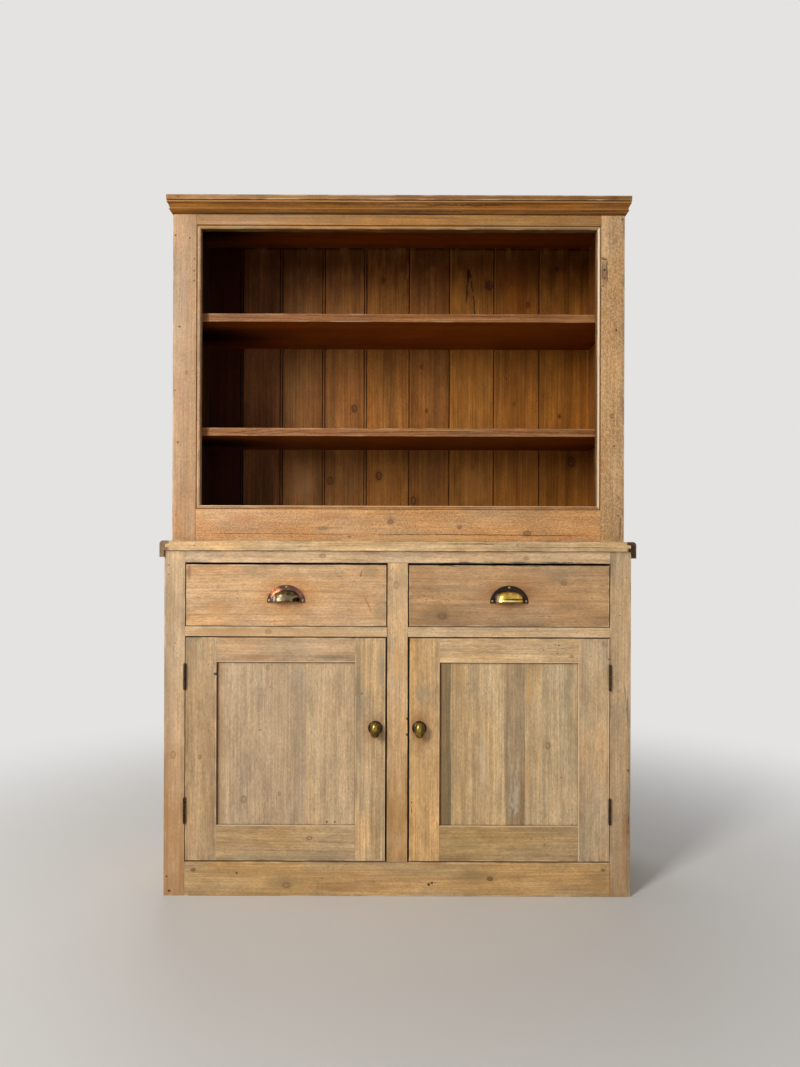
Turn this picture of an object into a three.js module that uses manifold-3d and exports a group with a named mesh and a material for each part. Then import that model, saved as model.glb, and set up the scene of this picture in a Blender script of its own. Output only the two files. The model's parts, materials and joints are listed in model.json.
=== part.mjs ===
// Welsh dresser in stripped pine: a cupboard base with two drawers above two doors, and an open
// upper section with two shelves, a boarded back and a cornice. Millimetres, +Z up, front to -Y.
import * as THREE from "three";
import { mergeVertices } from "three/addons/utils/BufferGeometryUtils.js";
import { ConvexGeometry } from "three/addons/geometries/ConvexGeometry.js";
import Module from "manifold-3d";

const wasm = await Module();
wasm.setup();

// Carcass
const carcassWidth = 1220;
const baseDepth = 420;
const upperSetBack = 70;
const sideThick = 20;
const frameThick = 22;

// Clearances: fit is left round every joint, overrun lets a cut pass its surface
const fit = 0.3;
const overrun = 1;

// Face frame of the base, from the floor up
const baseStileWidth = 54;
const muntinWidth = 54;
const plinthHeight = 89;
const doorOpeningHeight = 589;
const midRailHeight = 26;
const drawerOpeningHeight = 167;
const baseRailHeight = 31.5;

// Face frame of the upper section
const upperStileWidth = 63;
const upperBottomRail = 86;
const upperOpeningHeight = 769;
const upperTopRail = 62;

// Tenons of the face frames
const tenonLength = 20;
const tenonShoulder = 6;

// Shelves, floors and the housings and rebates in the side boards that take them
const shelfThick = 22;
const shelfSetBack = 8;
const lowerShelfHeight = 289;
const upperShelfHeight = 602;
const floorThick = 18;
const housingDepth = 8;
const rebateWidth = 10;

// Tongued and grooved back boards. The shares are the widths of the boards, left to right.
const upperBackThick = 22;
const baseBackThick = 12;
const baseBackLift = 12;
const boardGap = 0.8;
const boardArris = 1.5;
const tongueShare = 0.3;
const beadWidth = 7;
const quirkWidth = 1.8;
const upperBoardShares = [0.096, 0.1025, 0.11, 0.108, 0.11, 0.104, 0.115, 0.1175, 0.137];
const baseBoardShares = [0.16, 0.17, 0.17, 0.165, 0.17, 0.165];
const beadedBoards = 4;

// Bead on the inner edge of the upper opening
const openingBeadWidth = 11;
const openingQuirk = 1.5;
const openingQuirkDepth = 4;

// Housing left in the right-hand upper stile by a hinge that is no longer there
const scarWidth = 18;
const scarHeight = 82;
const scarDepth = 2;
const scarBelowRail = 85;

// Worktop boards and the moulded cleats on their ends
const worktopThick = 25.5;
const worktopOverhang = 8;
const worktopTongue = 10;
const cleatWidth = 24;
const cleatLip = 11;
const cleatDrop = 17.5;
const cleatRound = 9;

// Cornice and top board. The cornice is a splay under a cove and a fillet, and the top board
// rests on it over a narrow open joint.
const corniceHeight = 34;
const corniceReach = 14.5;
const corniceToe = 2.5;
const splayReach = 10;
const splayHeight = 11;
const splayReturn = 2.5;
const coveSag = 2;
const corniceFillet = 4;
const corniceJoint = 2.2;
const corniceJointDepth = 6;
const topBoardThick = 13;
const topBoardOverhang = 1;

// Drawer runners
const runnerThick = 20;
const runnerReach = 21;
const guideHeight = 20;
const runnerLap = 2;

// Doors
const doorThick = 21.5;
const doorHingeGap = 1.5;
const doorLockGap = 4.5;
const doorEndGap = 3;
const hingeStileWidth = 81;
const lockStileWidth = 79;
const doorTopRail = 64;
const doorBottomRail = 92;
const doorTenonLength = 50;
const doorTenonShoulder = 12;
const panelSunk = 7;
const panelEdge = 6;
const panelThick = 11;
const panelBevel = 40;
const panelGroove = 9;
const stopWidth = 40;
const stopDepth = 14;
const stopDrop = 15;
const stopRise = 22;
const stopInset = 60;
const stopLap = 4;

// Butt hinges
const hingeHeight = 65;
const hingeTopInset = 102;
const hingeBottomInset = 131.5;
const leafThick = 1.6;
const leafGap = 0.3;
const leafDepth = 22;
const pinProud = 4;
const pinRadius = 1.3;
const barrelRadius = 3.5;
const knuckleCount = 5;
const pinTipRadius = 3;
const pinTipLength = 2.5;

// Oval door knobs, each with a round collar and a spindle that turns a tongue behind the muntin
const knobInset = 26;
const knobHeight = 351;
const knobReach = 36;
const knobHalfWidth = 13.5;
const knobHalfHeight = 21;
const knobHalfDepth = 12;
const knobNeckRadius = 6;
const knobWaistRadius = 4.8;
const collarRadius = 19;
const collarThick = 4;
const collarStep = 4;
const spindleRadius = 4;
const spindleHeadRadius = 6.5;
const spindleHeadThick = 2.4;
const latchThick = 3;
const latchClearance = 0.6;
const latchReach = 45;
const latchHubRadius = 9;
const latchTipRadius = 5.5;

// Drawers
const drawerEndGap = 2.5;
const drawerFrontHeight = 160.5;
const drawerFrontThick = 20;
const drawerFrontLift = 1.2;
const drawerSideThick = 12;
const drawerSideHeight = 150;
const drawerBackThick = 12;
const drawerBottomThick = 8;
const drawerBottomLift = 10;
const drawerGroove = 5;
const dovetailLap = 7;
const frontTails = 4;
const backTails = 3;
const tailShare = 0.62;
const tailSlopeShare = 0.16;

// Hooded cup pulls
const pullWidth = 100;
const pullHeight = 48;
const pullAboveEdge = 62;
const pullFlangeThick = 2;
const pullFlangeStraight = 3;
const hoodHalfWidth = 40;
const hoodHeight = 35;
const hoodReach = 25;
const hoodWall = 2.4;
const hoodLipRise = 4;

// Places worked out from the sizes above
const carcassHalf = carcassWidth / 2;
const innerHalf = carcassHalf - sideThick;
const baseOpeningHalf = carcassHalf - baseStileWidth;
const muntinHalf = muntinWidth / 2;
const bayWidth = baseOpeningHalf - muntinHalf;
const midRailBottom = plinthHeight + doorOpeningHeight;
const midRailTop = midRailBottom + midRailHeight;
const baseRailBottom = midRailTop + drawerOpeningHeight;
const baseHeight = baseRailBottom + baseRailHeight;
const worktopTop = baseHeight + worktopThick;
const baseBackFace = baseDepth - baseBackThick;
const upperDepth = baseDepth - upperSetBack;
const upperBackFace = upperDepth - upperBackThick;
const upperOpeningTop = upperBottomRail + upperOpeningHeight;
const upperHeight = upperOpeningTop + upperTopRail;
const upperOpeningHalf = carcassHalf - upperStileWidth;
const doorWidth = bayWidth - doorHingeGap - doorLockGap;
const doorHeight = doorOpeningHeight - 2 * doorEndGap;
const doorEdge = doorHingeGap / 2;
const drawerWidth = bayWidth - 2 * drawerEndGap;
const drawerHalf = drawerWidth / 2;
const drawerLength = baseBackFace - fit;

// Finishes
const pine = { color: 0xc4a170, roughness: 0.62, metalness: 0 };
const goldenPine = { color: 0xc99c5c, roughness: 0.6, metalness: 0 };
const orangePine = { color: 0xb5803f, roughness: 0.58, metalness: 0 };
const darkPine = { color: 0x7d4c26, roughness: 0.66, metalness: 0 };
const rawPine = { color: 0xd2b384, roughness: 0.75, metalness: 0 };
const brass = { color: 0xa8873c, roughness: 0.32, metalness: 1 };
const bronze = { color: 0x76503c, roughness: 0.36, metalness: 1 };
const iron = { color: 0x2e2a28, roughness: 0.55, metalness: 1 };

function bare(geometry) {
  const plain = geometry.index ? geometry.toNonIndexed() : geometry.clone();
  plain.deleteAttribute("normal");
  plain.deleteAttribute("uv");
  return plain;
}

function toSolid(geometry) {
  const merged = mergeVertices(bare(geometry));
  return new wasm.Manifold(
    new wasm.Mesh({
      numProp: 3,
      vertProperties: merged.attributes.position.array,
      triVerts: Uint32Array.from(merged.index.array),
    }),
  );
}

function toGeometry(solid) {
  const { numProp, numVert, vertProperties, triVerts } = solid.getMesh();
  const positions = new Float32Array(numVert * 3);
  for (let i = 0; i < numVert; i++) {
    positions.set(vertProperties.subarray(i * numProp, i * numProp + 3), i * 3);
  }
  const geometry = new THREE.BufferGeometry();
  geometry.setAttribute("position", new THREE.BufferAttribute(positions, 3));
  geometry.setIndex(new THREE.BufferAttribute(triVerts, 1));
  return geometry;
}

function join(...geometries) {
  return toGeometry(geometries.map(toSolid).reduce((whole, part) => whole.add(part)));
}

function cut(geometry, ...tools) {
  return toGeometry(tools.map(toSolid).reduce((rest, tool) => rest.subtract(tool), toSolid(geometry)));
}

function overlapOf(first, second) {
  return toGeometry(toSolid(first).intersect(toSolid(second)));
}

// The same closed surface with its faces turned outwards
function facingOut(closed) {
  const geometry = mergeVertices(bare(closed));
  const corners = geometry.index.array;
  const corner = (k) => new THREE.Vector3().fromBufferAttribute(geometry.attributes.position, corners[k]);
  let volume = 0;
  for (let k = 0; k < corners.length; k += 3) {
    volume += corner(k).dot(corner(k + 1).cross(corner(k + 2)));
  }
  if (volume < 0) {
    corners.reverse();
  }
  return geometry;
}

// A profile of (radius, height) points revolved about the Y axis
function revolve(profile, segments) {
  const points = profile.map(([radius, height]) => new THREE.Vector2(radius, height));
  return facingOut(new THREE.LatheGeometry(points, segments));
}

// A block between limits along the three axes
function block({ x, y, z }) {
  const geometry = new THREE.BoxGeometry(x[1] - x[0], y[1] - y[0], z[1] - z[0]);
  return geometry.translate((x[0] + x[1]) / 2, (y[0] + y[1]) / 2, (z[0] + z[1]) / 2);
}

// Limits for the right-hand side (side 1), mirrored for the left-hand side (side -1)
const handed = (side, [near, far]) => (side > 0 ? [near, far] : [-far, -near]);
const grown = ([low, high], by) => [low - by, high + by];
const centred = (half) => [-half, half];

// Extrusions of a flat shape: along X a shape is drawn as (y, z), along Y as (x, z)
const frameX = new THREE.Matrix4().set(0, 0, 1, 0, 1, 0, 0, 0, 0, 1, 0, 0, 0, 0, 0, 1);
const frameY = new THREE.Matrix4().set(1, 0, 0, 0, 0, 0, -1, 0, 0, 1, 0, 0, 0, 0, 0, 1);
const arcSegments = 8;

function prism(shape, length) {
  const options = { depth: length, bevelEnabled: false, curveSegments: arcSegments };
  return new THREE.ExtrudeGeometry(shape, options);
}

function extrudeX(shape, [from, to]) {
  return prism(shape, to - from).applyMatrix4(frameX).translate(from, 0, 0);
}

function extrudeY(shape, [from, to]) {
  return prism(shape, to - from).applyMatrix4(frameY).translate(0, to, 0);
}

function polygon(points) {
  return new THREE.Shape(points.map(([across, up]) => new THREE.Vector2(across, up)));
}

// The stepped core of a member that ends in two tenons along the given axis, a third as thick
function tenonCore(member, axis, length, shoulder, grow = 0) {
  const across = axis === "x" ? "z" : "x";
  const third = (member.y[1] - member.y[0]) / 3;
  return block({
    [axis]: grown(member[axis], length + grow),
    [across]: grown(member[across], grow - shoulder),
    y: grown(member.y, grow - third),
  });
}

const tenoned = (member, axis) =>
  join(block(member), tenonCore(member, axis, tenonLength, tenonShoulder));
const mortiseFor = (member, axis) =>
  tenonCore(member, axis, tenonLength, tenonShoulder, fit);

// A moulding that runs level through its stops. The section holds (outwards, upwards) points, and
// each stop has a place and the direction outwards there, which is diagonal at a mitre.
function moulding(section, stops) {
  const count = section.length;
  const positions = stops.flatMap(({ at, out }) =>
    section.flatMap(({ x: reach, y: up }) => [at[0] + out[0] * reach, at[1] + out[1] * reach, up]),
  );
  const faces = [];
  for (let stop = 0; stop < stops.length - 1; stop++) {
    const near = stop * count;
    const far = near + count;
    for (let here = 0; here < count; here++) {
      const next = (here + 1) % count;
      faces.push(near + here, near + next, far + next, near + here, far + next, far + here);
    }
  }
  const last = (stops.length - 1) * count;
  const ccw = !THREE.ShapeUtils.isClockWise(section);
  for (const [a, b, c] of THREE.ShapeUtils.triangulateShape(section, [])) {
    const [second, third] = ccw ? [b, c] : [c, b];
    faces.push(a, third, second, last + a, last + second, last + third);
  }
  const geometry = new THREE.BufferGeometry();
  geometry.setAttribute("position", new THREE.Float32BufferAttribute(positions, 3));
  geometry.setIndex(faces);
  return facingOut(geometry);
}

function piece(parent, name, geometry, finish) {
  const mesh = new THREE.Mesh(
    geometry,
    new THREE.MeshStandardMaterial({ ...finish, flatShading: true }),
  );
  mesh.name = name;
  parent.add(mesh);
  return mesh;
}

function groupAt(parent, x, y, z) {
  const group = new THREE.Group();
  group.position.set(x, y, z);
  parent.add(group);
  return group;
}

const sides = [
  { hand: "left", side: -1 },
  { hand: "right", side: 1 },
];

// A side board: rebated behind for the back boards, with a housing across it for each shelf
function sideBoard(side, depth, height, backThick, shelves) {
  const backFace = depth - backThick;
  const housingAcross = handed(side, [innerHalf - overrun, innerHalf + housingDepth]);
  const board = block({
    x: handed(side, [innerHalf, carcassHalf]),
    y: [frameThick, depth],
    z: [0, height],
  });
  const rebate = block({
    x: handed(side, [innerHalf - overrun, innerHalf + rebateWidth]),
    y: [backFace, depth + overrun],
    z: grown([0, height], overrun),
  });
  const housings = shelves.map((shelf) =>
    block({ x: housingAcross, y: [frameThick - overrun, backFace + overrun], z: grown(shelf, fit) }),
  );
  return cut(board, rebate, ...housings);
}

function shelfBoard(front, back, heights) {
  return block({ x: centred(innerHalf + housingDepth - fit), y: [front, back], z: heights });
}

// Tongued and grooved boards in their joints, seen from above with the face at y 0. Beside a
// joint the face has either a bead with its quirk or a plain softened arris.
function boardedBack(shares, beadedCount, thick, height) {
  const half = innerHalf + rebateWidth - fit;
  const jointDepth = (thick * (1 - tongueShare)) / 2;
  const beadRadius = beadWidth / 2;
  const shareSum = shares.reduce((sum, share) => sum + share);
  let left = -half;
  const joints = shares.slice(0, -1).map((share) => {
    left += (2 * half * share) / shareSum;
    return left;
  });
  const shape = new THREE.Shape();
  shape.moveTo(-half, 0);
  joints.forEach((x, index) => {
    if (index < beadedCount) {
      shape.lineTo(x - beadWidth - quirkWidth, 0);
      shape.lineTo(x - beadWidth - quirkWidth, beadRadius);
      shape.lineTo(x - beadWidth, beadRadius);
      shape.absarc(x - beadRadius, beadRadius, beadRadius, Math.PI, 2 * Math.PI, false);
    } else {
      shape.lineTo(x - boardArris, 0);
      shape.lineTo(x, boardArris);
    }
    shape.lineTo(x, jointDepth);
    shape.lineTo(x + boardGap, jointDepth);
    shape.lineTo(x + boardGap, boardArris);
    shape.lineTo(x + boardGap + boardArris, 0);
  });
  shape.lineTo(half, 0);
  shape.lineTo(half, thick);
  for (const x of joints.toReversed()) {
    shape.lineTo(x + boardGap, thick);
    shape.lineTo(x + boardGap, thick - jointDepth);
    shape.lineTo(x, thick - jointDepth);
    shape.lineTo(x, thick);
  }
  shape.lineTo(-half, thick);
  return prism(shape, height);
}

const dresser = new THREE.Group();
// The widest reach forwards is the knobs' and the back is the base's: the origin is midway
const middleY = (baseDepth - knobReach) / 2;
const carcass = groupAt(dresser, 0, -middleY, 0);

// Base: face frame
const plinthRail = { x: centred(baseOpeningHalf), y: [0, frameThick], z: [0, plinthHeight] };
const baseTopRail = {
  x: centred(baseOpeningHalf),
  y: [0, frameThick],
  z: [baseRailBottom, baseHeight],
};
const muntin = {
  x: centred(muntinHalf),
  y: [0, frameThick],
  z: [plinthHeight, baseRailBottom],
};
const midRail = {
  x: centred(baseOpeningHalf),
  y: [0, frameThick],
  z: [midRailBottom, midRailTop],
};
const muntinMortise = mortiseFor(muntin, "z");
piece(carcass, "plinth_rail", cut(tenoned(plinthRail, "x"), muntinMortise), pine);
piece(carcass, "base_top_rail", cut(tenoned(baseTopRail, "x"), muntinMortise), pine);

// The muntin runs through in front and the rail behind, halved over each other. The rail also
// carries a stop block behind each door.
const railNotch = block({
  x: centred(muntinHalf + fit),
  y: [-overrun, (frameThick + fit) / 2],
  z: grown([midRailBottom, midRailTop], overrun),
});
const muntinNotch = block({
  x: centred(muntinHalf + overrun),
  y: [(frameThick - fit) / 2, frameThick + overrun],
  z: grown([midRailBottom, midRailTop], fit),
});
const doorStop = (side) =>
  block({
    x: handed(side, [muntinHalf + stopInset, muntinHalf + stopInset + stopWidth]),
    y: [frameThick - stopLap, frameThick + stopDepth],
    z: [midRailBottom - stopDrop, midRailBottom + stopRise],
  });
const doorwaySpace = block({
  x: centred(baseOpeningHalf),
  y: [0, frameThick],
  z: [0, midRailBottom],
});
const stops = sides.map(({ side }) => cut(doorStop(side), doorwaySpace));
const notchedRail = cut(tenoned(midRail, "x"), railNotch);
piece(carcass, "mid_rail", join(notchedRail, ...stops), pine);
piece(carcass, "muntin", cut(tenoned(muntin, "z"), muntinNotch), pine);

// Hinge places, measured up from the floor
const doorBottom = plinthHeight + doorEndGap;
const hingeHeights = [hingeBottomInset, doorHeight - hingeTopInset];
const leafReach = leafGap / 2 + leafThick;
const recessDepth = leafReach - doorEdge + fit;

// The shallow recess for one leaf, cut into an edge that lies at x, on its far side from the pin
function leafRecess(side, edge, face, middle) {
  return block({
    x: handed(side, [edge - overrun, edge + recessDepth]),
    y: [face - overrun, face + leafDepth - pinProud + fit],
    z: [middle - hingeHeight / 2 - fit, middle + hingeHeight / 2 + fit],
  });
}

for (const { hand, side } of sides) {
  const stile = block({
    x: handed(side, [baseOpeningHalf, carcassHalf]),
    y: [0, frameThick],
    z: [0, baseHeight],
  });
  const mortises = [plinthRail, midRail, baseTopRail].map((rail) => mortiseFor(rail, "x"));
  const recesses = hingeHeights.map((z) => leafRecess(side, baseOpeningHalf, 0, doorBottom + z));
  piece(carcass, `base_stile_${hand}`, cut(stile, ...mortises, ...recesses), pine);
}

// Base: side boards, each with the runner and guide of its drawer glued on, and the runner
// between the drawers
const runnerBottom = midRailTop - runnerThick;
const guideTop = midRailTop + guideHeight;
const runnerSpan = [frameThick, baseBackFace];
function sideRunner(side) {
  const shelf = {
    x: handed(side, [baseOpeningHalf - runnerReach, innerHalf + runnerLap]),
    y: runnerSpan,
    z: [runnerBottom, midRailTop],
  };
  const guide = {
    x: handed(side, [baseOpeningHalf, innerHalf + runnerLap]),
    y: runnerSpan,
    z: [runnerBottom, guideTop],
  };
  return join(block(shelf), block(guide));
}
const floorHeights = [plinthHeight - floorThick, plinthHeight];
for (const { hand, side } of sides) {
  const board = sideBoard(side, baseDepth, baseHeight, baseBackThick, [floorHeights]);
  piece(carcass, `base_side_${hand}`, join(board, sideRunner(side)), pine);
}
const centreReach = muntinHalf + runnerReach;
const centreSection = polygon([
  [-centreReach, runnerBottom],
  [centreReach, runnerBottom],
  [centreReach, midRailTop],
  [muntinHalf, midRailTop],
  [muntinHalf, guideTop],
  [-muntinHalf, guideTop],
  [-muntinHalf, midRailTop],
  [-centreReach, midRailTop],
]);
piece(carcass, "centre_runner", extrudeY(centreSection, runnerSpan), rawPine);

// Base: floor and back
piece(carcass, "base_floor", shelfBoard(frameThick, baseBackFace, floorHeights), rawPine);
piece(
  carcass,
  "base_back_boards",
  boardedBack(baseBoardShares, 0, baseBackThick, baseHeight - baseBackLift),
  rawPine,
).position.set(0, baseBackFace, baseBackLift);

// Worktop, with a tongue at each end let into the moulded cleats
const cleatInner = carcassHalf + cleatLip - cleatWidth;
const cleatOuter = carcassHalf + cleatLip;
const worktopThird = worktopThick / 3;
const tongueLow = baseHeight + worktopThird;
const tongueHigh = worktopTop - worktopThird;
const worktopSection = polygon([
  [-cleatInner, baseHeight],
  [cleatInner, baseHeight],
  [cleatInner, tongueLow],
  [cleatInner + worktopTongue, tongueLow],
  [cleatInner + worktopTongue, tongueHigh],
  [cleatInner, tongueHigh],
  [cleatInner, worktopTop],
  [-cleatInner, worktopTop],
  [-cleatInner, tongueHigh],
  [-cleatInner - worktopTongue, tongueHigh],
  [-cleatInner - worktopTongue, tongueLow],
  [-cleatInner, tongueLow],
]);
const worktopDepths = [-worktopOverhang, baseDepth];
piece(carcass, "worktop", extrudeY(worktopSection, worktopDepths), goldenPine);

const cleatSection = new THREE.Shape();
cleatSection.moveTo(cleatInner, worktopTop);
cleatSection.lineTo(cleatInner, tongueHigh + fit);
cleatSection.lineTo(cleatInner + worktopTongue + fit, tongueHigh + fit);
cleatSection.lineTo(cleatInner + worktopTongue + fit, tongueLow - fit);
cleatSection.lineTo(cleatInner, tongueLow - fit);
cleatSection.lineTo(cleatInner, baseHeight);
cleatSection.lineTo(carcassHalf, baseHeight);
cleatSection.lineTo(carcassHalf, baseHeight - cleatDrop);
cleatSection.lineTo(cleatOuter, baseHeight - cleatDrop);
cleatSection.absarc(cleatOuter - cleatRound, worktopTop - cleatRound, cleatRound, 0, Math.PI / 2, false);
const cleatMiddle = (baseDepth - worktopOverhang) / 2;
for (const { hand, side } of sides) {
  const cleat = extrudeY(cleatSection, centred((baseDepth + worktopOverhang) / 2));
  const mesh = piece(carcass, `worktop_cleat_${hand}`, cleat, goldenPine);
  mesh.position.y = cleatMiddle;
  mesh.rotation.z = side > 0 ? 0 : Math.PI;
}

// Upper section, stood on the worktop with its back flush with the base's
const upper = groupAt(carcass, 0, upperSetBack, worktopTop);
const topRail = {
  x: centred(upperOpeningHalf),
  y: [0, frameThick],
  z: [upperOpeningTop, upperHeight],
};
const bottomRail = {
  x: centred(upperOpeningHalf),
  y: [0, frameThick],
  z: [0, upperBottomRail],
};

// The bead worked on the inner edge of each frame member: a half round flush with the face
// beside a quirk, mitred at the corners. Its section runs inwards (negative outwards) and back.
const openingBeadRadius = (openingBeadWidth - openingQuirk) / 2;
const beadPath = new THREE.Shape();
beadPath.moveTo(overrun, -frameThick);
beadPath.lineTo(-openingBeadWidth, -frameThick);
beadPath.absarc(
  -openingBeadWidth + openingBeadRadius,
  -openingBeadRadius,
  openingBeadRadius,
  Math.PI,
  0,
  true,
);
beadPath.lineTo(-openingQuirk, -openingQuirkDepth);
beadPath.lineTo(overrun, -openingQuirkDepth);
const beadSection = beadPath.getPoints(arcSegments);

// The bead of one edge: quarter turns 0 to 3 are the bottom, right, top and left edges
function openingBead(turn) {
  const upright = turn % 2 === 1;
  const edgeHalf = (upright ? upperOpeningHeight / 2 : upperOpeningHalf) - fit / 2;
  const across = upright ? upperOpeningHalf : upperOpeningHeight / 2;
  const bar = moulding(beadSection, [
    { at: [-edgeHalf, -across], out: [-1, -1] },
    { at: [edgeHalf, -across], out: [1, -1] },
  ]);
  const within = block({
    x: centred(edgeHalf),
    y: centred(2 * across),
    z: centred(2 * frameThick),
  });
  const turned = overlapOf(bar, within).rotateZ((turn * Math.PI) / 2).rotateX(Math.PI / 2);
  return turned.translate(0, 0, upperBottomRail + upperOpeningHeight / 2);
}
piece(upper, "upper_bottom_rail", join(tenoned(bottomRail, "x"), openingBead(0)), goldenPine);
piece(upper, "upper_top_rail", join(tenoned(topRail, "x"), openingBead(2)), goldenPine);

const scarTop = upperOpeningTop - scarBelowRail;
const hingeScar = block({
  x: [upperOpeningHalf, upperOpeningHalf + scarWidth],
  y: [-overrun, scarDepth],
  z: [scarTop - scarHeight, scarTop],
});
for (const { hand, side } of sides) {
  const stile = block({
    x: handed(side, [upperOpeningHalf, carcassHalf]),
    y: [0, frameThick],
    z: [0, upperHeight],
  });
  const cuts = [mortiseFor(topRail, "x"), mortiseFor(bottomRail, "x")];
  if (side > 0) {
    cuts.push(hingeScar);
  }
  const beaded = join(cut(stile, ...cuts), openingBead(side > 0 ? 1 : 3));
  piece(upper, `upper_stile_${hand}`, beaded, goldenPine);
}

const upperFloorHeights = [upperBottomRail - shelfThick, upperBottomRail];
const shelfHeights = [lowerShelfHeight, upperShelfHeight].map((low) => [low, low + shelfThick]);
for (const { hand, side } of sides) {
  const housed = [upperFloorHeights, ...shelfHeights];
  piece(
    upper,
    `upper_side_${hand}`,
    sideBoard(side, upperDepth, upperHeight, upperBackThick, housed),
    goldenPine,
  );
}
piece(upper, "upper_floor", shelfBoard(frameThick, upperBackFace, upperFloorHeights), darkPine);
["shelf_lower", "shelf_upper"].forEach((name, index) => {
  const shelf = shelfBoard(frameThick + shelfSetBack, upperBackFace, shelfHeights[index]);
  piece(upper, name, shelf, orangePine);
});
piece(
  upper,
  "upper_back_boards",
  boardedBack(upperBoardShares, beadedBoards, upperBackThick, upperHeight),
  darkPine,
).position.y = upperBackFace;

// Cornice: splay, cove and fillet, mitred round the two front corners under the top board
const corniceBase = upperHeight - corniceHeight;
const filletTop = corniceHeight - corniceJoint;
const coveOut = splayReach - splayReturn;
const coveLow = splayHeight + splayReturn / 2;
const coveTop = filletTop - corniceFillet;
const coveMiddle = [(coveOut + corniceReach) / 2 - coveSag, (coveLow + coveTop) / 2 + coveSag];
const cornicePath = new THREE.Shape();
cornicePath.moveTo(0, 0);
cornicePath.lineTo(corniceToe, 0);
cornicePath.lineTo(splayReach, splayHeight);
cornicePath.lineTo(coveOut, coveLow);
cornicePath.quadraticCurveTo(...coveMiddle, corniceReach, coveTop);
cornicePath.lineTo(corniceReach, filletTop);
cornicePath.lineTo(corniceReach - corniceJointDepth, filletTop);
cornicePath.lineTo(corniceReach - corniceJointDepth, corniceHeight);
cornicePath.lineTo(0, corniceHeight);
const corniceSection = cornicePath.getPoints(arcSegments);
const cornice = moulding(corniceSection, [
  { at: [-carcassHalf, upperDepth], out: [-1, 0] },
  { at: [-carcassHalf, 0], out: [-1, -1] },
  { at: [carcassHalf, 0], out: [1, -1] },
  { at: [carcassHalf, upperDepth], out: [1, 0] },
]);
piece(upper, "cornice", cornice, orangePine).position.z = corniceBase;

const topReach = corniceReach + topBoardOverhang;
const topBoard = block({
  x: centred(carcassHalf + topReach),
  y: [-topReach, upperDepth],
  z: [upperHeight, upperHeight + topBoardThick],
});
piece(upper, "top_board", topBoard, goldenPine);

// Butt hinges, modelled round the pin. The frame's leaf has the odd knuckles and the pin, which
// is riveted into them; the door's leaf turns on it with the even knuckles.
const knuckleLength = hingeHeight / knuckleCount;
const boreRadius = pinRadius + fit;

function knuckle(bore, [from, to]) {
  const shape = new THREE.Shape();
  shape.absarc(0, 0, barrelRadius, 0, 2 * Math.PI, false);
  if (bore > 0) {
    const hole = new THREE.Path();
    hole.absarc(0, 0, bore, 0, 2 * Math.PI, true);
    shape.holes.push(hole);
  }
  return prism(shape, to - from).translate(0, 0, from);
}

function hingeLeaf(side, firstKnuckle, bore) {
  const across = handed(side, [leafGap / 2, leafReach]);
  const plateFront = barrelRadius + fit;
  const parts = [block({ x: across, y: [plateFront, leafDepth], z: centred(hingeHeight / 2) })];
  for (let k = firstKnuckle; k < knuckleCount; k += 2) {
    const low = -hingeHeight / 2 + k * knuckleLength;
    const span = [low + fit / 2, low + knuckleLength - fit / 2];
    parts.push(knuckle(bore, span));
    parts.push(block({ x: across, y: [boreRadius, plateFront + fit], z: span }));
  }
  return join(...parts);
}

function hingePin() {
  const shaftHalf = hingeHeight / 2;
  const tipEnd = shaftHalf + pinTipLength;
  const tipMiddle = shaftHalf + pinTipLength / 2;
  const profile = [
    [0, -tipEnd],
    [pinTipRadius / 2, -tipEnd],
    [pinTipRadius, -tipMiddle],
    [pinTipRadius, -shaftHalf + overrun],
    [pinRadius, -shaftHalf + overrun],
    [pinRadius, shaftHalf - overrun],
    [pinTipRadius, shaftHalf - overrun],
    [pinTipRadius, tipMiddle],
    [pinTipRadius / 2, tipEnd],
    [0, tipEnd],
  ];
  return revolve(profile, 2 * arcSegments).rotateX(Math.PI / 2);
}

const pinX = baseOpeningHalf - doorEdge;
const hinges = [
  { level: "lower", height: hingeBottomInset },
  { level: "upper", height: doorHeight - hingeTopInset },
];
for (const { hand, side } of sides) {
  for (const { level, height } of hinges) {
    const leaf = join(hingeLeaf(side, 0, 0), hingePin());
    const mesh = piece(carcass, `hinge_${hand}_${level}_frame_leaf`, leaf, iron);
    mesh.position.set(side * pinX, -pinProud, doorBottom + height);
  }
}

// Doors. Each door's group stands on its hinge pin, and its members are measured from the pin
// towards the lock edge, which lies to the right on the left door and to the left on the right.
// A panel is flat in front. Its back is bevelled so that the edge fits the groove at its mouth.
function panelSolid(across, heights, front) {
  const slope = (panelThick - panelEdge) / (panelBevel - panelGroove);
  const rimThick = panelEdge - slope * panelGroove;
  const points = [];
  const corners = (inset, depth) => {
    for (const x of grown(across, -inset)) {
      for (const z of grown(heights, -inset)) {
        points.push(new THREE.Vector3(x, depth, z));
      }
    }
  };
  corners(0, front);
  corners(0, front + rimThick);
  corners(panelBevel, front + panelThick);
  return new ConvexGeometry(points);
}

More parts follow.
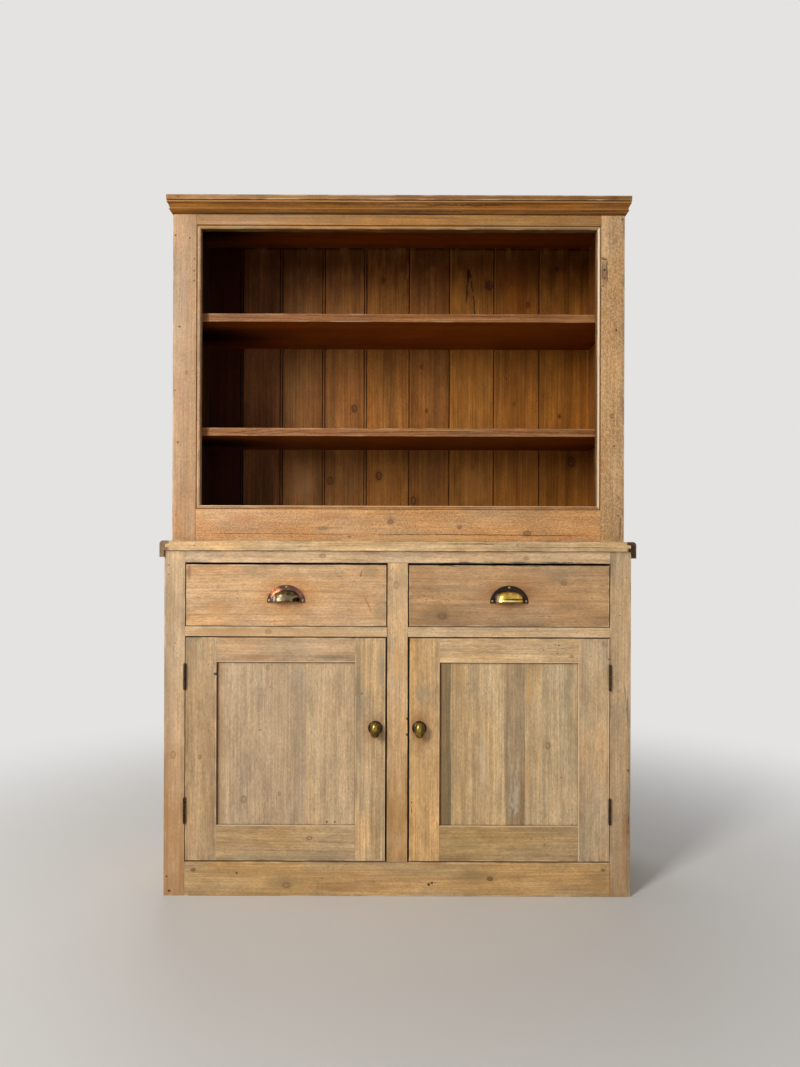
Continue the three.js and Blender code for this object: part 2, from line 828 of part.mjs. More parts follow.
for (const { hand, side } of sides) {
  const lockSide = -side;
  const door = groupAt(carcass, side * pinX, -pinProud, doorBottom);
  const face = pinProud;
  const depths = [face, face + doorThick];
  const hingeEdge = doorEdge;
  const lockEdge = doorEdge + doorWidth;
  const railSpan = handed(lockSide, [hingeEdge + hingeStileWidth, lockEdge - lockStileWidth]);
  const panelHeights = [doorBottomRail, doorHeight - doorTopRail];
  const topMember = { x: railSpan, y: depths, z: [panelHeights[1], doorHeight] };
  const bottomMember = { x: railSpan, y: depths, z: [0, panelHeights[0]] };
  const core = (member, grow) => tenonCore(member, "x", doorTenonLength, doorTenonShoulder, grow);
  const mortises = [core(topMember, fit), core(bottomMember, fit)];
  const panelFront = face + panelSunk;
  const groove = block({
    x: grown(railSpan, panelGroove),
    y: grown([panelFront, panelFront + panelEdge], fit),
    z: grown(panelHeights, panelGroove),
  });
  const knobX = lockSide * (lockEdge - knobInset);

  const hingeStile = block({
    x: handed(lockSide, [hingeEdge, hingeEdge + hingeStileWidth]),
    y: depths,
    z: [0, doorHeight],
  });
  const leafRecesses = hingeHeights.map((z) =>
    leafRecess(lockSide, -hingeEdge, face, z).translate(lockSide * 2 * hingeEdge, 0, 0),
  );
  piece(door, `door_${hand}_hinge_stile`, cut(hingeStile, groove, ...mortises, ...leafRecesses), pine);

  const lockStile = block({
    x: handed(lockSide, [lockEdge - lockStileWidth, lockEdge]),
    y: depths,
    z: [0, doorHeight],
  });
  const spindleHole = new THREE.CylinderGeometry(
    spindleRadius + fit,
    spindleRadius + fit,
    2 * doorThick,
    3 * arcSegments,
  ).translate(knobX, face + doorThick / 2, knobHeight - doorEndGap);
  piece(door, `door_${hand}_lock_stile`, cut(lockStile, groove, ...mortises, spindleHole), pine);

  piece(door, `door_${hand}_top_rail`, cut(join(block(topMember), core(topMember, 0)), groove), pine);
  const bottomRailSolid = cut(join(block(bottomMember), core(bottomMember, 0)), groove);
  piece(door, `door_${hand}_bottom_rail`, bottomRailSolid, pine);
  const panel = panelSolid(
    grown(railSpan, panelGroove - fit),
    grown(panelHeights, panelGroove - fit),
    panelFront,
  );
  piece(door, `door_${hand}_panel`, panel, pine);
  for (const { level, height } of hinges) {
    const leaf = hingeLeaf(lockSide, 1, boreRadius);
    piece(door, `hinge_${hand}_${level}_door_leaf`, leaf, iron).position.z = height;
  }

  // The knob is one casting with its round collar and its spindle, which turns the tongue just
  // clear of the back of the muntin
  const knobGroup = groupAt(door, knobX, face, knobHeight - doorEndGap);
  const knobCentre = -(knobReach - knobHalfDepth);
  const latchFront = Math.max(doorThick, frameThick) + latchClearance;
  const headFront = latchFront + latchThick + fit;
  const spindleProfile = [
    [0, knobCentre],
    [knobNeckRadius, knobCentre],
    [knobWaistRadius, (knobCentre - collarThick) / 2],
    [knobNeckRadius, -collarThick],
    [collarRadius - 2 * collarStep, -collarThick / 2 - fit],
    [collarRadius - collarStep, -collarThick],
    [collarRadius - collarStep / 2, -collarThick],
    [collarRadius, -collarThick / 2],
    [collarRadius, -fit],
    [spindleRadius, -fit],
    [spindleRadius, headFront],
    [spindleHeadRadius, headFront],
    [spindleHeadRadius, headFront + spindleHeadThick],
    [0, headFront + spindleHeadThick],
  ];
  const oval = new THREE.SphereGeometry(1, 3 * arcSegments, 2 * arcSegments)
    .scale(knobHalfWidth, knobHalfDepth, knobHalfHeight)
    .translate(0, knobCentre, 0);
  piece(knobGroup, `knob_${hand}`, join(revolve(spindleProfile, 4 * arcSegments), oval), brass);

  const tongue = new THREE.Shape();
  tongue.absarc(0, 0, latchHubRadius, 0, Math.PI, false);
  tongue.absarc(0, -latchReach + latchTipRadius, latchTipRadius, Math.PI, 2 * Math.PI, false);
  const bore = new THREE.Path();
  bore.absarc(0, 0, spindleRadius + fit, 0, 2 * Math.PI, true);
  tongue.holes.push(bore);
  const latch = extrudeY(tongue, [latchFront, latchFront + latchThick]);
  piece(knobGroup, `latch_${hand}`, latch, iron);
}

// Drawers. A tail is a trapezium, wider at its tip, drawn as (y, z); grow widens it for a socket.
function tail(middle, pitch, baseline, tip, grow) {
  const flare = Math.abs(tip - baseline) * tailSlopeShare;
  const tipHalf = (pitch * tailShare) / 2 + grow;
  const baseHalf = tipHalf - flare;
  const tipEnd = tip + Math.sign(tip - baseline) * grow;
  return [
    [baseline, middle - baseHalf],
    [tipEnd, middle - tipHalf],
    [tipEnd, middle + tipHalf],
    [baseline, middle + baseHalf],
  ];
}

const backPinsLow = drawerBottomLift + drawerBottomThick + fit;
const frontPitch = drawerSideHeight / frontTails;
const backPitch = (drawerSideHeight - backPinsLow) / backTails;
const backBaseline = drawerLength - drawerBackThick;
const middles = (count, pitch, low) => Array.from({ length: count }, (_, k) => low + (k + 0.5) * pitch);
const frontTailsOf = (grow) =>
  middles(frontTails, frontPitch, 0).map((z) => tail(z, frontPitch, drawerFrontThick, dovetailLap, grow));
const backTailsOf = (grow) =>
  middles(backTails, backPitch, backPinsLow).map((z) => tail(z, backPitch, backBaseline, drawerLength, grow));

function drawerSide(side) {
  const outline = polygon([
    [drawerFrontThick, 0],
    [drawerLength, 0],
    [drawerLength, backPinsLow],
    [backBaseline, backPinsLow],
    ...backTailsOf(0).flat(),
    [backBaseline, drawerSideHeight],
    [drawerFrontThick, drawerSideHeight],
    ...frontTailsOf(0).map((corners) => corners.slice().reverse()).reverse().flat(),
  ]);
  const across = handed(side, [drawerHalf - drawerSideThick, drawerHalf]);
  const groove = block({
    x: handed(side, [drawerHalf - drawerSideThick - overrun, drawerHalf - drawerSideThick + drawerGroove]),
    y: [drawerFrontThick - drawerGroove, drawerLength + overrun],
    z: grown([drawerBottomLift, drawerBottomLift + drawerBottomThick], fit),
  });
  return cut(extrudeX(outline, across), groove);
}

// The sockets for one side's tails, cut in from the end of the front or of the back
function sockets(tails, side) {
  const across = handed(side, [drawerHalf - drawerSideThick - fit, drawerHalf + overrun]);
  return tails.map((corners) => extrudeX(polygon(corners), across));
}

// A hooded pull: a half-round flange and a quarter-dome hood, hollow behind, with an arched lip
function cupPull() {
  const straight = pullFlangeStraight;
  const flange = new THREE.Shape();
  flange.moveTo(-pullWidth / 2, 0);
  flange.lineTo(pullWidth / 2, 0);
  flange.absellipse(0, straight, pullWidth / 2, pullHeight - straight, 0, Math.PI, false);
  const dome = (inset) =>
    new THREE.SphereGeometry(1, 4 * arcSegments, 2 * arcSegments)
      .rotateX(Math.PI / 2)
      .scale(hoodHalfWidth - inset, hoodReach - inset, hoodHeight - inset);
  const frontHalf = block({
    x: centred(pullWidth),
    y: [-2 * hoodReach, 0],
    z: [0, 2 * hoodHeight],
  });
  const hood = overlapOf(dome(0), frontHalf);
  const arch = new THREE.Shape();
  arch.absellipse(0, 0, hoodHalfWidth - hoodWall, hoodLipRise, 0, 2 * Math.PI, false);
  const archCut = extrudeY(arch, [-2 * hoodReach, overrun]);
  return cut(join(extrudeY(flange, [-pullFlangeThick, 0]), hood), dome(hoodWall), archCut);
}

for (const { hand, side } of sides) {
  const drawer = groupAt(carcass, side * (muntinHalf + bayWidth / 2), 0, midRailTop + fit);
  const bottomHeights = [drawerBottomLift, drawerBottomLift + drawerBottomThick];
  const frontBoard = block({
    x: centred(drawerHalf),
    y: [0, drawerFrontThick],
    z: [drawerFrontLift, drawerFrontLift + drawerFrontHeight],
  });
  const frontGroove = block({
    x: centred(drawerHalf - drawerSideThick + overrun),
    y: [drawerFrontThick - drawerGroove, drawerFrontThick + overrun],
    z: grown(bottomHeights, fit),
  });
  // Each socket opens through the back of the front board, past its baseline
  const frontSockets = sides.flatMap(({ side: end }) => sockets(frontTailsOf(fit), end));
  const front = cut(frontBoard, frontGroove, ...frontSockets);
  piece(drawer, `drawer_${hand}_front`, front, pine);
  for (const { hand: end, side: endSide } of sides) {
    piece(drawer, `drawer_${hand}_side_${end}`, drawerSide(endSide), rawPine);
  }

  const backBoard = block({
    x: centred(drawerHalf),
    y: [backBaseline, drawerLength],
    z: [backPinsLow + fit, drawerSideHeight],
  });
  const backSockets = sides.flatMap(({ side: end }) => sockets(backTailsOf(fit), end));
  piece(drawer, `drawer_${hand}_back`, cut(backBoard, ...backSockets), rawPine);

  const bottom = block({
    x: centred(drawerHalf - drawerSideThick + drawerGroove - fit),
    y: [drawerFrontThick - drawerGroove + fit, drawerLength],
    z: bottomHeights,
  });
  piece(drawer, `drawer_${hand}_bottom`, bottom, rawPine);

  const pull = piece(drawer, `drawer_${hand}_pull`, cupPull(), side < 0 ? bronze : brass);
  pull.position.z = pullAboveEdge;
}

export default dresser;
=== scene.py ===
import json
import math
import random

import bmesh
import bpy
from mathutils import Euler, Matrix, Vector


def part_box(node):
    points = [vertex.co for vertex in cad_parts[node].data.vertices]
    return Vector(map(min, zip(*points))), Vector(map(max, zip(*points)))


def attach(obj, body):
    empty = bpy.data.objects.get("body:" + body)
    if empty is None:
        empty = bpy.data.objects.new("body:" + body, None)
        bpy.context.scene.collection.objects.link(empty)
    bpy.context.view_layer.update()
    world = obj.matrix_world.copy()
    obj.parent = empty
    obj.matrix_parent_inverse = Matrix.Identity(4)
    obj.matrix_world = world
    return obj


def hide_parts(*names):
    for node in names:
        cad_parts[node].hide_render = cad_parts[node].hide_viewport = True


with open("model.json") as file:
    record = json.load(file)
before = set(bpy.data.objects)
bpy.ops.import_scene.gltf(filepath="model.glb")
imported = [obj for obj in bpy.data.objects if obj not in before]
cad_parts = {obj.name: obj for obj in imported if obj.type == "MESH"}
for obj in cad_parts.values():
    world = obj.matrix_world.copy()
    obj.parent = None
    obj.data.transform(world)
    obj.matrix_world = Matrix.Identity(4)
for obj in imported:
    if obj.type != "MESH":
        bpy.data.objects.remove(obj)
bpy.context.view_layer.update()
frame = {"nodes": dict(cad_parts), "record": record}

# The camera. It stands a little over two metres in front of the dresser, level, at the height of
# the worktop, with a wide lens and a trace of roll, as the photograph was taken.
photo_width = 800
photo_height = 1067
focal_length_px = 801
horizon_px = 552
sensor_width = 36
camera_place = (0.0055, -2.286, 0.90)
camera_roll = math.radians(-0.2)

camera_data = bpy.data.cameras.new("camera")
camera_data.sensor_width = sensor_width
camera_data.lens = sensor_width * focal_length_px / max(photo_width, photo_height)
camera_data.shift_y = (horizon_px - photo_height / 2) / photo_height
camera = bpy.data.objects.new("camera", camera_data)
camera.location = camera_place
camera.rotation_euler = (math.pi / 2, camera_roll, 0)
bpy.context.scene.collection.objects.link(camera)
bpy.context.scene.camera = camera


# The studio. A plain pale floor runs up into a plain pale backdrop all the way round. One large
# soft lamp stands high on the left, like a window, and weaker ones fill from the right and behind.
def colour(chart):
    """A tone as painters read it off a chart, 0 to 255 each of red, green and blue, as light."""
    shares = [channel / 255 for channel in chart]
    return (*[s / 12.92 if s <= 0.04045 else ((s + 0.055) / 1.055) ** 2.4 for s in shares], 1.0)


def put(tree, kind, sockets=None, **settings):
    """Adds one node, with its settings, and joins or sets its sockets."""
    made = tree.nodes.new(kind if "Node" in kind else "ShaderNode" + kind)
    for name, value in settings.items():
        setattr(made, name, value)
    for socket, value in (sockets or {}).items():
        if isinstance(value, bpy.types.NodeSocket):
            tree.links.new(value, made.inputs[socket])
        else:
            made.inputs[socket].default_value = value
    return made


def new_material(name):
    material = bpy.data.materials.new(name)
    material.use_nodes = True
    material.node_tree.nodes.clear()
    return material, material.node_tree


def surface(tree, shader):
    put(tree, "OutputMaterial", {"Surface": shader})


def meshed(name, shape):
    mesh = bpy.data.meshes.new(name)
    shape.to_mesh(mesh)
    shape.free()
    return mesh


def skinned(shape, rows):
    """Closes the skin between rows of points, each a ring or one point at a pole."""
    for low, high in zip(rows, rows[1:]):
        for k in range(max(len(low), len(high))):
            after = (k + 1) % max(len(low), len(high))
            if len(low) == 1:
                shape.faces.new((low[0], high[after], high[k]))
            elif len(high) == 1:
                shape.faces.new((low[k], low[after], high[0]))
            else:
                shape.faces.new((low[k], low[after], high[after], high[k]))


pole_radius = 1e-6


def revolved(name, profile, sides):
    """A mesh turned about the upright axis from (radius, height) points."""
    shape = bmesh.new()
    turns = [2 * math.pi * k / sides for k in range(sides)]
    rows = []
    for radius, height in profile:
        ring = [(radius * math.cos(turn), radius * math.sin(turn), height) for turn in turns]
        if radius < pole_radius:
            ring = [(0, 0, height)]
        rows.append([shape.verts.new(point) for point in ring])
    skinned(shape, rows)
    bmesh.ops.recalc_face_normals(shape, faces=shape.faces)
    for face in shape.faces:
        face.smooth = True
    return meshed(name, shape)


def shown(name, mesh):
    thing = bpy.data.objects.new(name, mesh)
    bpy.context.scene.collection.objects.link(thing)
    return thing


floor_radius = 6.0
cove_radius = 1.4
backdrop_height = 1.6
cove_steps = 14
floor_sides = 96
floor_tone = (226, 225, 223)
floor_shade = (218, 217, 215)
floor_clouds = 0.9
floor_rough = 0.85
backdrop_white = colour((228, 227, 225))
fade_start = 0.6
fade_end = 2.4
air_tone = (245, 247, 250)
air_level = 0.2

profile = [(0.0, 0.0), (floor_radius / 3, 0.0), (floor_radius - cove_radius, 0.0)]
for step in range(1, cove_steps + 1):
    turn = math.pi / 2 * step / cove_steps
    across = floor_radius - cove_radius + cove_radius * math.sin(turn)
    profile.append((across, cove_radius * (1 - math.cos(turn))))
profile.append((floor_radius, backdrop_height))
studio = shown("studio_floor", revolved("studio_floor", profile, floor_sides))


def seen_rays(tree):
    """One for rays from the camera and off shiny metal, so that the white lights nothing."""
    rays = put(tree, "LightPath").outputs
    sockets = {0: rays["Is Camera Ray"], 1: rays["Is Glossy Ray"]}
    return put(tree, "Math", sockets, operation="MAXIMUM").outputs[0]


paper, tree = new_material("studio_paper")
where = put(tree, "TexCoord").outputs["Object"]
cloudy = put(tree, "TexNoise", {"Vector": where, "Scale": floor_clouds, "Detail": 3.0}).outputs["Fac"]
dusty = {0: cloudy, 6: colour(floor_tone), 7: colour(floor_shade)}
dusty = put(tree, "Mix", dusty, data_type="RGBA").outputs[2]
sheet = put(tree, "BsdfPrincipled", {"Base Color": dusty, "Roughness": floor_rough})
glow = put(tree, "Emission", {"Color": backdrop_white, "Strength": 1.0})
away = put(tree, "VectorMath", {0: where}, operation="LENGTH").outputs["Value"]
reach = {0: away, 1: fade_start, 2: fade_end, 3: 0.0, 4: 1.0}
faded = put(tree, "MapRange", reach, interpolation_type="SMOOTHSTEP").outputs[0]
share = put(tree, "Math", {0: faded, 1: seen_rays(tree)}, operation="MULTIPLY").outputs[0]
surface(tree, put(tree, "MixShader", {0: share, 1: sheet.outputs[0], 2: glow.outputs[0]}).outputs[0])
studio.data.materials.append(paper)

world = bpy.data.worlds.new("studio_air")
bpy.context.scene.world = world
world.use_nodes = True
sky = world.node_tree
sky.nodes.clear()
soft_air = put(sky, "Background", {"Color": colour(air_tone), "Strength": air_level})
pale_air = put(sky, "Background", {"Color": backdrop_white, "Strength": 1.0})
air = put(sky, "MixShader", {0: seen_rays(sky), 1: soft_air.outputs[0], 2: pale_air.outputs[0]})
put(sky, "OutputWorld", {"Surface": air.outputs[0]})

lamp_aim = Vector((0.0, 0.0, 1.05))
lamps = {
    "window_lamp": {"azimuth": 35, "elevation": 20, "distance": 4.9, "size": (1.0, 2.6), "power": 176,
                    "tint": (255, 250, 243)},
    "fill_lamp": {"azimuth": -30, "elevation": 8, "distance": 4.6, "size": (3.2, 3.2), "power": 18,
                  "tint": (250, 250, 255)},
    "back_lamp": {"azimuth": 170, "elevation": 35, "distance": 4.4, "size": (3.0, 3.0), "power": 60,
                  "tint": (255, 252, 248)},
}
for name, lamp in lamps.items():
    light = bpy.data.lights.new(name, "AREA")
    light.shape = "RECTANGLE"
    light.size, light.size_y = lamp["size"]
    light.energy = lamp["power"]
    light.color = colour(lamp["tint"])[:3]
    holder = bpy.data.objects.new(name, light)
    turn, lift = math.radians(lamp["azimuth"]), math.radians(lamp["elevation"])
    level = math.cos(lift)
    towards = Vector((-math.sin(turn) * level, -math.cos(turn) * level, math.sin(lift)))
    holder.location = lamp_aim + towards * lamp["distance"]
    holder.rotation_euler = (-towards).to_track_quat("-Z", "Y").to_euler()
    bpy.context.scene.collection.objects.link(holder)
bpy.context.scene.view_settings.view_transform = "Standard"


# Face frame of the base. Two stiles, a plinth rail, a mid rail, a top rail and a muntin of planed
# pine, mortised and tenoned flush. The paint was stripped long ago and the wood waxed, so it is a
# greyish honey with open grain, old nail holes, ringed knots and dirt in the joints.
def sum_of(tree, operation, first, second=0.0, third=0.0):
    return put(tree, "Math", {0: first, 1: second, 2: third}, operation=operation).outputs[0]


def joined(tree, operation, first, *others):
    for other in others:
        first = sum_of(tree, operation, first, other)
    return first


def times(tree, first, *others):
    return joined(tree, "MULTIPLY", first, *others)


def strongest(tree, first, *others):
    return joined(tree, "MAXIMUM", first, *others)


def vector_of(tree, operation, first, second=(0, 0, 0), output=0):
    return put(tree, "VectorMath", {0: first, 1: second}, operation=operation).outputs[output]


def eased(tree, value, low, high, to_low=0.0, to_high=1.0):
    sockets = {0: value, 1: low, 2: high, 3: to_low, 4: to_high}
    return put(tree, "MapRange", sockets, interpolation_type="SMOOTHSTEP").outputs[0]


def mixed(tree, share, first, second, way="MIX"):
    return put(tree, "Mix", {0: share, 6: first, 7: second}, data_type="RGBA", blend_type=way).outputs[2]


def noise(tree, where, stretch, detail=2.0):
    scaled = vector_of(tree, "MULTIPLY", where, stretch)
    return put(tree, "TexNoise", {"Vector": scaled, "Scale": 1.0, "Detail": detail}).outputs["Fac"]


def varied(tree, where, stretch, amount, detail=2.0):
    """A factor round one that wanders by the given amount."""
    return eased(tree, noise(tree, where, stretch, detail), 0.3, 0.7, 1 - amount, 1 + amount)


def spot(tree, where, centre, half, ragged):
    """How far a point is from a spot's centre: 1 at its ragged edge."""
    away = vector_of(tree, "DIVIDE", vector_of(tree, "SUBTRACT", where, centre), half)
    step = 1.3 / min(half)
    wobble = noise(tree, where, (step, step, step), detail=4.0)
    reach = sum_of(tree, "SUBTRACT", vector_of(tree, "LENGTH", away, output="Value"), ragged / 2)
    return sum_of(tree, "MULTIPLY_ADD", wobble, ragged, reach)


def stroke(tree, where, start, end, half_width):
    """A line drawn on the face from start to end, each (x, z), that thins and fades to its ends."""
    run = Vector((end[0] - start[0], 0, end[1] - start[1]))
    length = run.length
    run.normalize()
    local = vector_of(tree, "SUBTRACT", where, (start[0], 0, start[1]))
    forward = vector_of(tree, "DOT_PRODUCT", local, run, output="Value")
    sideways = vector_of(tree, "DOT_PRODUCT", local, Vector((-run.z, 0, run.x)), output="Value")
    drift = noise(tree, where, (34, 34, 34), detail=4.0)
    bend = half_width * 5
    off = sum_of(tree, "MULTIPLY_ADD", drift, bend, sum_of(tree, "SUBTRACT", sideways, bend / 2))
    reach = sum_of(tree, "DIVIDE", sum_of(tree, "ABSOLUTE", off), half_width)
    away = sum_of(tree, "ABSOLUTE", sum_of(tree, "SUBTRACT", forward, length / 2))
    broken = eased(tree, noise(tree, where, (90, 90, 90), detail=2.0), 0.3, 0.5, 0.35, 1.0)
    ends = eased(tree, away, length * 0.32, length * 0.5, 1.0, 0.0)
    return times(tree, eased(tree, reach, 0.4, 1.25, 1.0, 0.0), ends, broken)


def darker(tone, share):
    return tuple(channel * share for channel in tone[:3]) + (1.0,)


def box_reach(tree, where, low, high):
    """The distances from a point inside a box to the nearer side of it along each axis."""
    to_low = vector_of(tree, "SUBTRACT", where, low)
    near = vector_of(tree, "MINIMUM", to_low, vector_of(tree, "SUBTRACT", high, where))
    return put(tree, "SeparateXYZ", {0: near}).outputs


def arris_distance(tree, where, low, high):
    """The distance along a board's face to its nearest edge: the middle one of the three
    distances to the sides of its box."""
    x, y, z = box_reach(tree, where, low, high)
    least = sum_of(tree, "MINIMUM", x, y)
    most = sum_of(tree, "MAXIMUM", x, y)
    return sum_of(tree, "MAXIMUM", least, sum_of(tree, "MINIMUM", most, z))


grain_turns = {"z": (0, 0, 0), "x": (0, math.pi / 2, 0), "y": (math.pi / 2, 0, 0)}
knot_shapes = {"x": (1.25, 2.6, 0.9), "y": (0.9, 1.25, 0.9), "z": (0.9, 2.6, 1.25)}
knot_brown = colour((136, 88, 50))
knot_rim = colour((70, 42, 26))
# A near-black for holes, cracks and split knots, and also painted shade in the gaps above the drawers.
hole_black_and_gap_shade = (30, 23, 22)
dirt_brown = colour((84, 56, 36))
dust_grey = (166, 156, 136)
worn_cream = (232, 208, 168)
strip_waver = 0.009
strip_scatter = (0.1, 0.04, 4.0)
halo_depth = 0.02
bare_skin = 0.006
trunk_taper = 0.011
mottling = 0.08
blotching = 0.10


def glued_strips(tree, along, start, place, low, high, strips, chance):
    """The tint of each glued strip, and the grain moved within it so that no two boards match."""
    waver = noise(tree, vector_of(tree, "ADD", along, start), (60, 60, 5), detail=3.0)
    middled = sum_of(tree, "SUBTRACT", place, strip_waver / 2)
    across = sum_of(tree, "MULTIPLY_ADD", waver, strip_waver, middled)
    span = put(tree, "MapRange", {0: across, 1: low, 2: high, 3: 0.0, 4: 1.0}).outputs[0]
    tints, shifts = put(tree, "ValToRGB", {0: span}), put(tree, "ValToRGB", {0: span})
    for ramp, pick in ((tints, None), (shifts, chance)):
        stops = ramp.color_ramp
        stops.interpolation = "CONSTANT"
        while len(stops.elements) > 1:
            stops.elements.remove(stops.elements[-1])
        for k, (share, shade) in enumerate(strips):
            stop = stops.elements[0] if k == 0 else stops.elements.new(share)
            stop.position = share
            stop.color = [pick.random() for _ in range(4)] if pick else (*shade, 1.0)
    centred = vector_of(tree, "SUBTRACT", shifts.outputs[0], (0.5, 0.5, 0.5))
    shifted = vector_of(tree, "ADD", along, vector_of(tree, "MULTIPLY", centred, strip_scatter))
    return tints.outputs[0], shifted


def pine(name, box, grain, seed, tone, ring_width=0.0038, contrast=0.5, heart=(0.012, 0.045), wander=0.012,
         late=(0.72, 0.55, 0.38), blush=0.35, greyness=0.3, grey=dust_grey, streaks=0.12, flecks=0.16,
         grit=0.15, speckle=0.0, wear=0.5, knots=(), holes=(), cracks=(), marks=(), halos=(), patches=(),
         shades=(), stains=(), strips=(), strip_axis=0, bare=None, rough=0.52, gleam=0.4, relief=1.0):
    """Planed pine cut from a log whose heart lies at the given place across and behind the board.
    Knots are (x, z, radius, darkness), holes (x, z, radius), cracks (start, end, half width), marks
    (start, end, half width, tone, strength), halos (x, z, half width, half height, tone, strength),
    patches (centre, half sizes, tone, strength), shades along an edge (axis, place, reach, tone,
    strength), stains (low corner, high corner, tone, strength) and strips (share across, tint) of
    glued boards, whose back has the tint called bare."""
    # Besides dirt, wear and stain, the shades, halos, patches, stains and strip tints given to some boards
    # paint shade and highlights.
    low, high = box
    tone, grey, cream = colour(tone), colour(grey), colour(worn_cream)
    material, tree = new_material(name)
    where = put(tree, "TexCoord").outputs["Object"]
    place = put(tree, "SeparateXYZ", {0: where}).outputs
    turn = Euler(grain_turns[grain])
    middle = turn.to_matrix() @ ((low + high) / 2)
    along = put(tree, "Mapping", {"Vector": where, "Rotation": turn, "Location": -middle}).outputs[0]
    chance = random.Random(seed)
    start = [chance.uniform(-9, 9) for _ in range(3)]
    tint = None
    if strips:
        ends = low[strip_axis], high[strip_axis]
        tint, along = glued_strips(tree, along, start, place[strip_axis], *ends, strips, chance)
    if bare:
        behind = eased(tree, place[1], high.y - bare_skin, high.y - bare_skin / 3)
        tint = mixed(tree, behind, tint, bare)
    seeded = vector_of(tree, "ADD", along, start)

    pull, core, rim, smudge, split = [], [], [], [], []
    for x_at, z_at, radius, darkness in knots:
        half = [radius * share for share in knot_shapes[grain]]
        reach = spot(tree, where, (x_at, low.y, z_at), half, 0.42)
        bump = sum_of(tree, "EXPONENT", times(tree, sum_of(tree, "POWER", reach, 2.0), -0.33))
        pull.append(times(tree, bump, radius * 1.7))
        core.append(times(tree, eased(tree, reach, 0.3, 1.05, 1.0, 0.0), 0.08 + 0.88 * darkness ** 1.3))
        edge = times(tree, eased(tree, reach, 0.62, 0.9), eased(tree, reach, 0.94, 1.18, 1.0, 0.0))
        rim.append(times(tree, edge, 0.5 + 0.45 * darkness))
        smudge.append(eased(tree, reach, 0.9, 2.3, 0.14 + 0.24 * darkness, 0.0))
        split.append(eased(tree, reach, 0.5, 1.0, darkness, 0.0))

    sway = noise(tree, seeded, (4.5, 4.5, 1.0), detail=2.0)
    x, y, z = put(tree, "SeparateXYZ", {0: along}).outputs
    swayed = sum_of(tree, "MULTIPLY_ADD", sway, wander * 2, sum_of(tree, "SUBTRACT", x, heart[0] + wander))
    deep = sum_of(tree, "SUBTRACT", y, heart[1])
    out = sum_of(tree, "ADD", sum_of(tree, "POWER", swayed, 2.0), sum_of(tree, "POWER", deep, 2.0))
    from_heart = sum_of(tree, "MULTIPLY_ADD", z, trunk_taper, sum_of(tree, "SQRT", out))
    from_heart = joined(tree, "ADD", from_heart, *pull)
    jitter = noise(tree, seeded, (24, 24, 2.4), detail=3.0)
    rings = sum_of(tree, "MULTIPLY_ADD", from_heart, 1 / ring_width, times(tree, jitter, 0.9))
    year = sum_of(tree, "FLOOR", rings)
    growth = put(tree, "TexWhiteNoise", {"W": year}, noise_dimensions="1D").outputs["Value"]
    season = sum_of(tree, "FRACT", rings)
    line = times(tree, eased(tree, season, 0.25, 0.84), eased(tree, season, 0.9, 1.0, 1.0, 0.0))
    faint = eased(tree, noise(tree, seeded, (14, 14, 5), detail=2.0), 0.35, 0.65, 0.2, 1.0)
    line = times(tree, line, sum_of(tree, "MULTIPLY_ADD", growth, 0.8, 0.2), faint)
    fibre = noise(tree, seeded, (620, 620, 13), detail=3.0)

    latewood = tuple(channel * share for channel, share in zip(tone[:3], late)) + (1.0,)
    ruddy = (tone[0] * 0.92, tone[1] * 0.72, tone[2] * 0.46, 1.0)
    shade = mixed(tree, times(tree, line, contrast), tone, latewood)
    patch = noise(tree, seeded, (16, 16, 4.5), detail=6.0)
    shade = mixed(tree, eased(tree, patch, 0.38, 0.72, 0.0, blush), shade, ruddy)
    cloud = noise(tree, seeded, (9, 9, 3.2), detail=5.0)
    shade = mixed(tree, eased(tree, cloud, 0.38, 0.70, 0.0, greyness), shade, grey)
    if tint is not None:
        shade = mixed(tree, 1.0, shade, tint, "MULTIPLY")
    bands = varied(tree, seeded, (30, 30, 1.3), streaks, detail=3.0)
    streak = varied(tree, seeded, (210, 210, 4.0), streaks, detail=4.0)
    mottle = varied(tree, seeded, (70, 70, 26), mottling, detail=5.0)
    blotch = varied(tree, seeded, (19, 19, 9), blotching, detail=5.0)
    hair = eased(tree, fibre, 0.3, 0.7, 0.93, 1.07)
    grains = noise(tree, seeded, (460, 460, 120), detail=3.0)
    fine = eased(tree, grains, 0.3, 0.7, 1 - grit, 1 + grit)
    pores = eased(tree, noise(tree, seeded, (520, 520, 60), detail=2.0), 0.6, 0.72, 1.0, 1 - flecks)
    dots = eased(tree, noise(tree, seeded, (310, 310, 240), detail=0.0), 0.71, 0.78, 0.0, 0.6)
    gathered = eased(tree, noise(tree, seeded, (15, 15, 9), detail=2.0), 0.55, 0.66, 0.05, 1.0)
    specks = eased(tree, times(tree, dots, gathered), 0.0, 1.0, 1.0, 0.0)
    lit = times(tree, bands, streak, mottle, blotch, hair, fine, pores, specks)
    shade = mixed(tree, 1.0, shade, put(tree, "CombineXYZ", {0: lit, 1: lit, 2: lit}).outputs[0], "MULTIPLY")
    if speckle:
        worms = noise(tree, seeded, (330, 330, 210), detail=2.0)
        shade = mixed(tree, eased(tree, worms, 0.5, 0.6, 0.0, speckle), shade, cream)
        shade = mixed(tree, eased(tree, worms, 0.38, 0.46, speckle * 0.9, 0.0), shade, darker(ruddy, 0.5))
    if knots:
        for one in smudge:
            shade = mixed(tree, one, shade, darker(ruddy, 0.6))
        whorl = noise(tree, where, (230, 230, 230), detail=2.0)
        blend = mixed(tree, eased(tree, whorl, 0.4, 0.62), knot_brown, knot_rim)
        shade = mixed(tree, strongest(tree, *core), shade, blend)
        shade = mixed(tree, strongest(tree, *rim), shade, knot_rim)
        vein = sum_of(tree, "ABSOLUTE", sum_of(tree, "SUBTRACT", whorl, 0.5))
        vein = times(tree, eased(tree, vein, 0.004, 0.03, 1.0, 0.0), strongest(tree, *split))
        shade = mixed(tree, vein, shade, colour(hole_black_and_gap_shade))
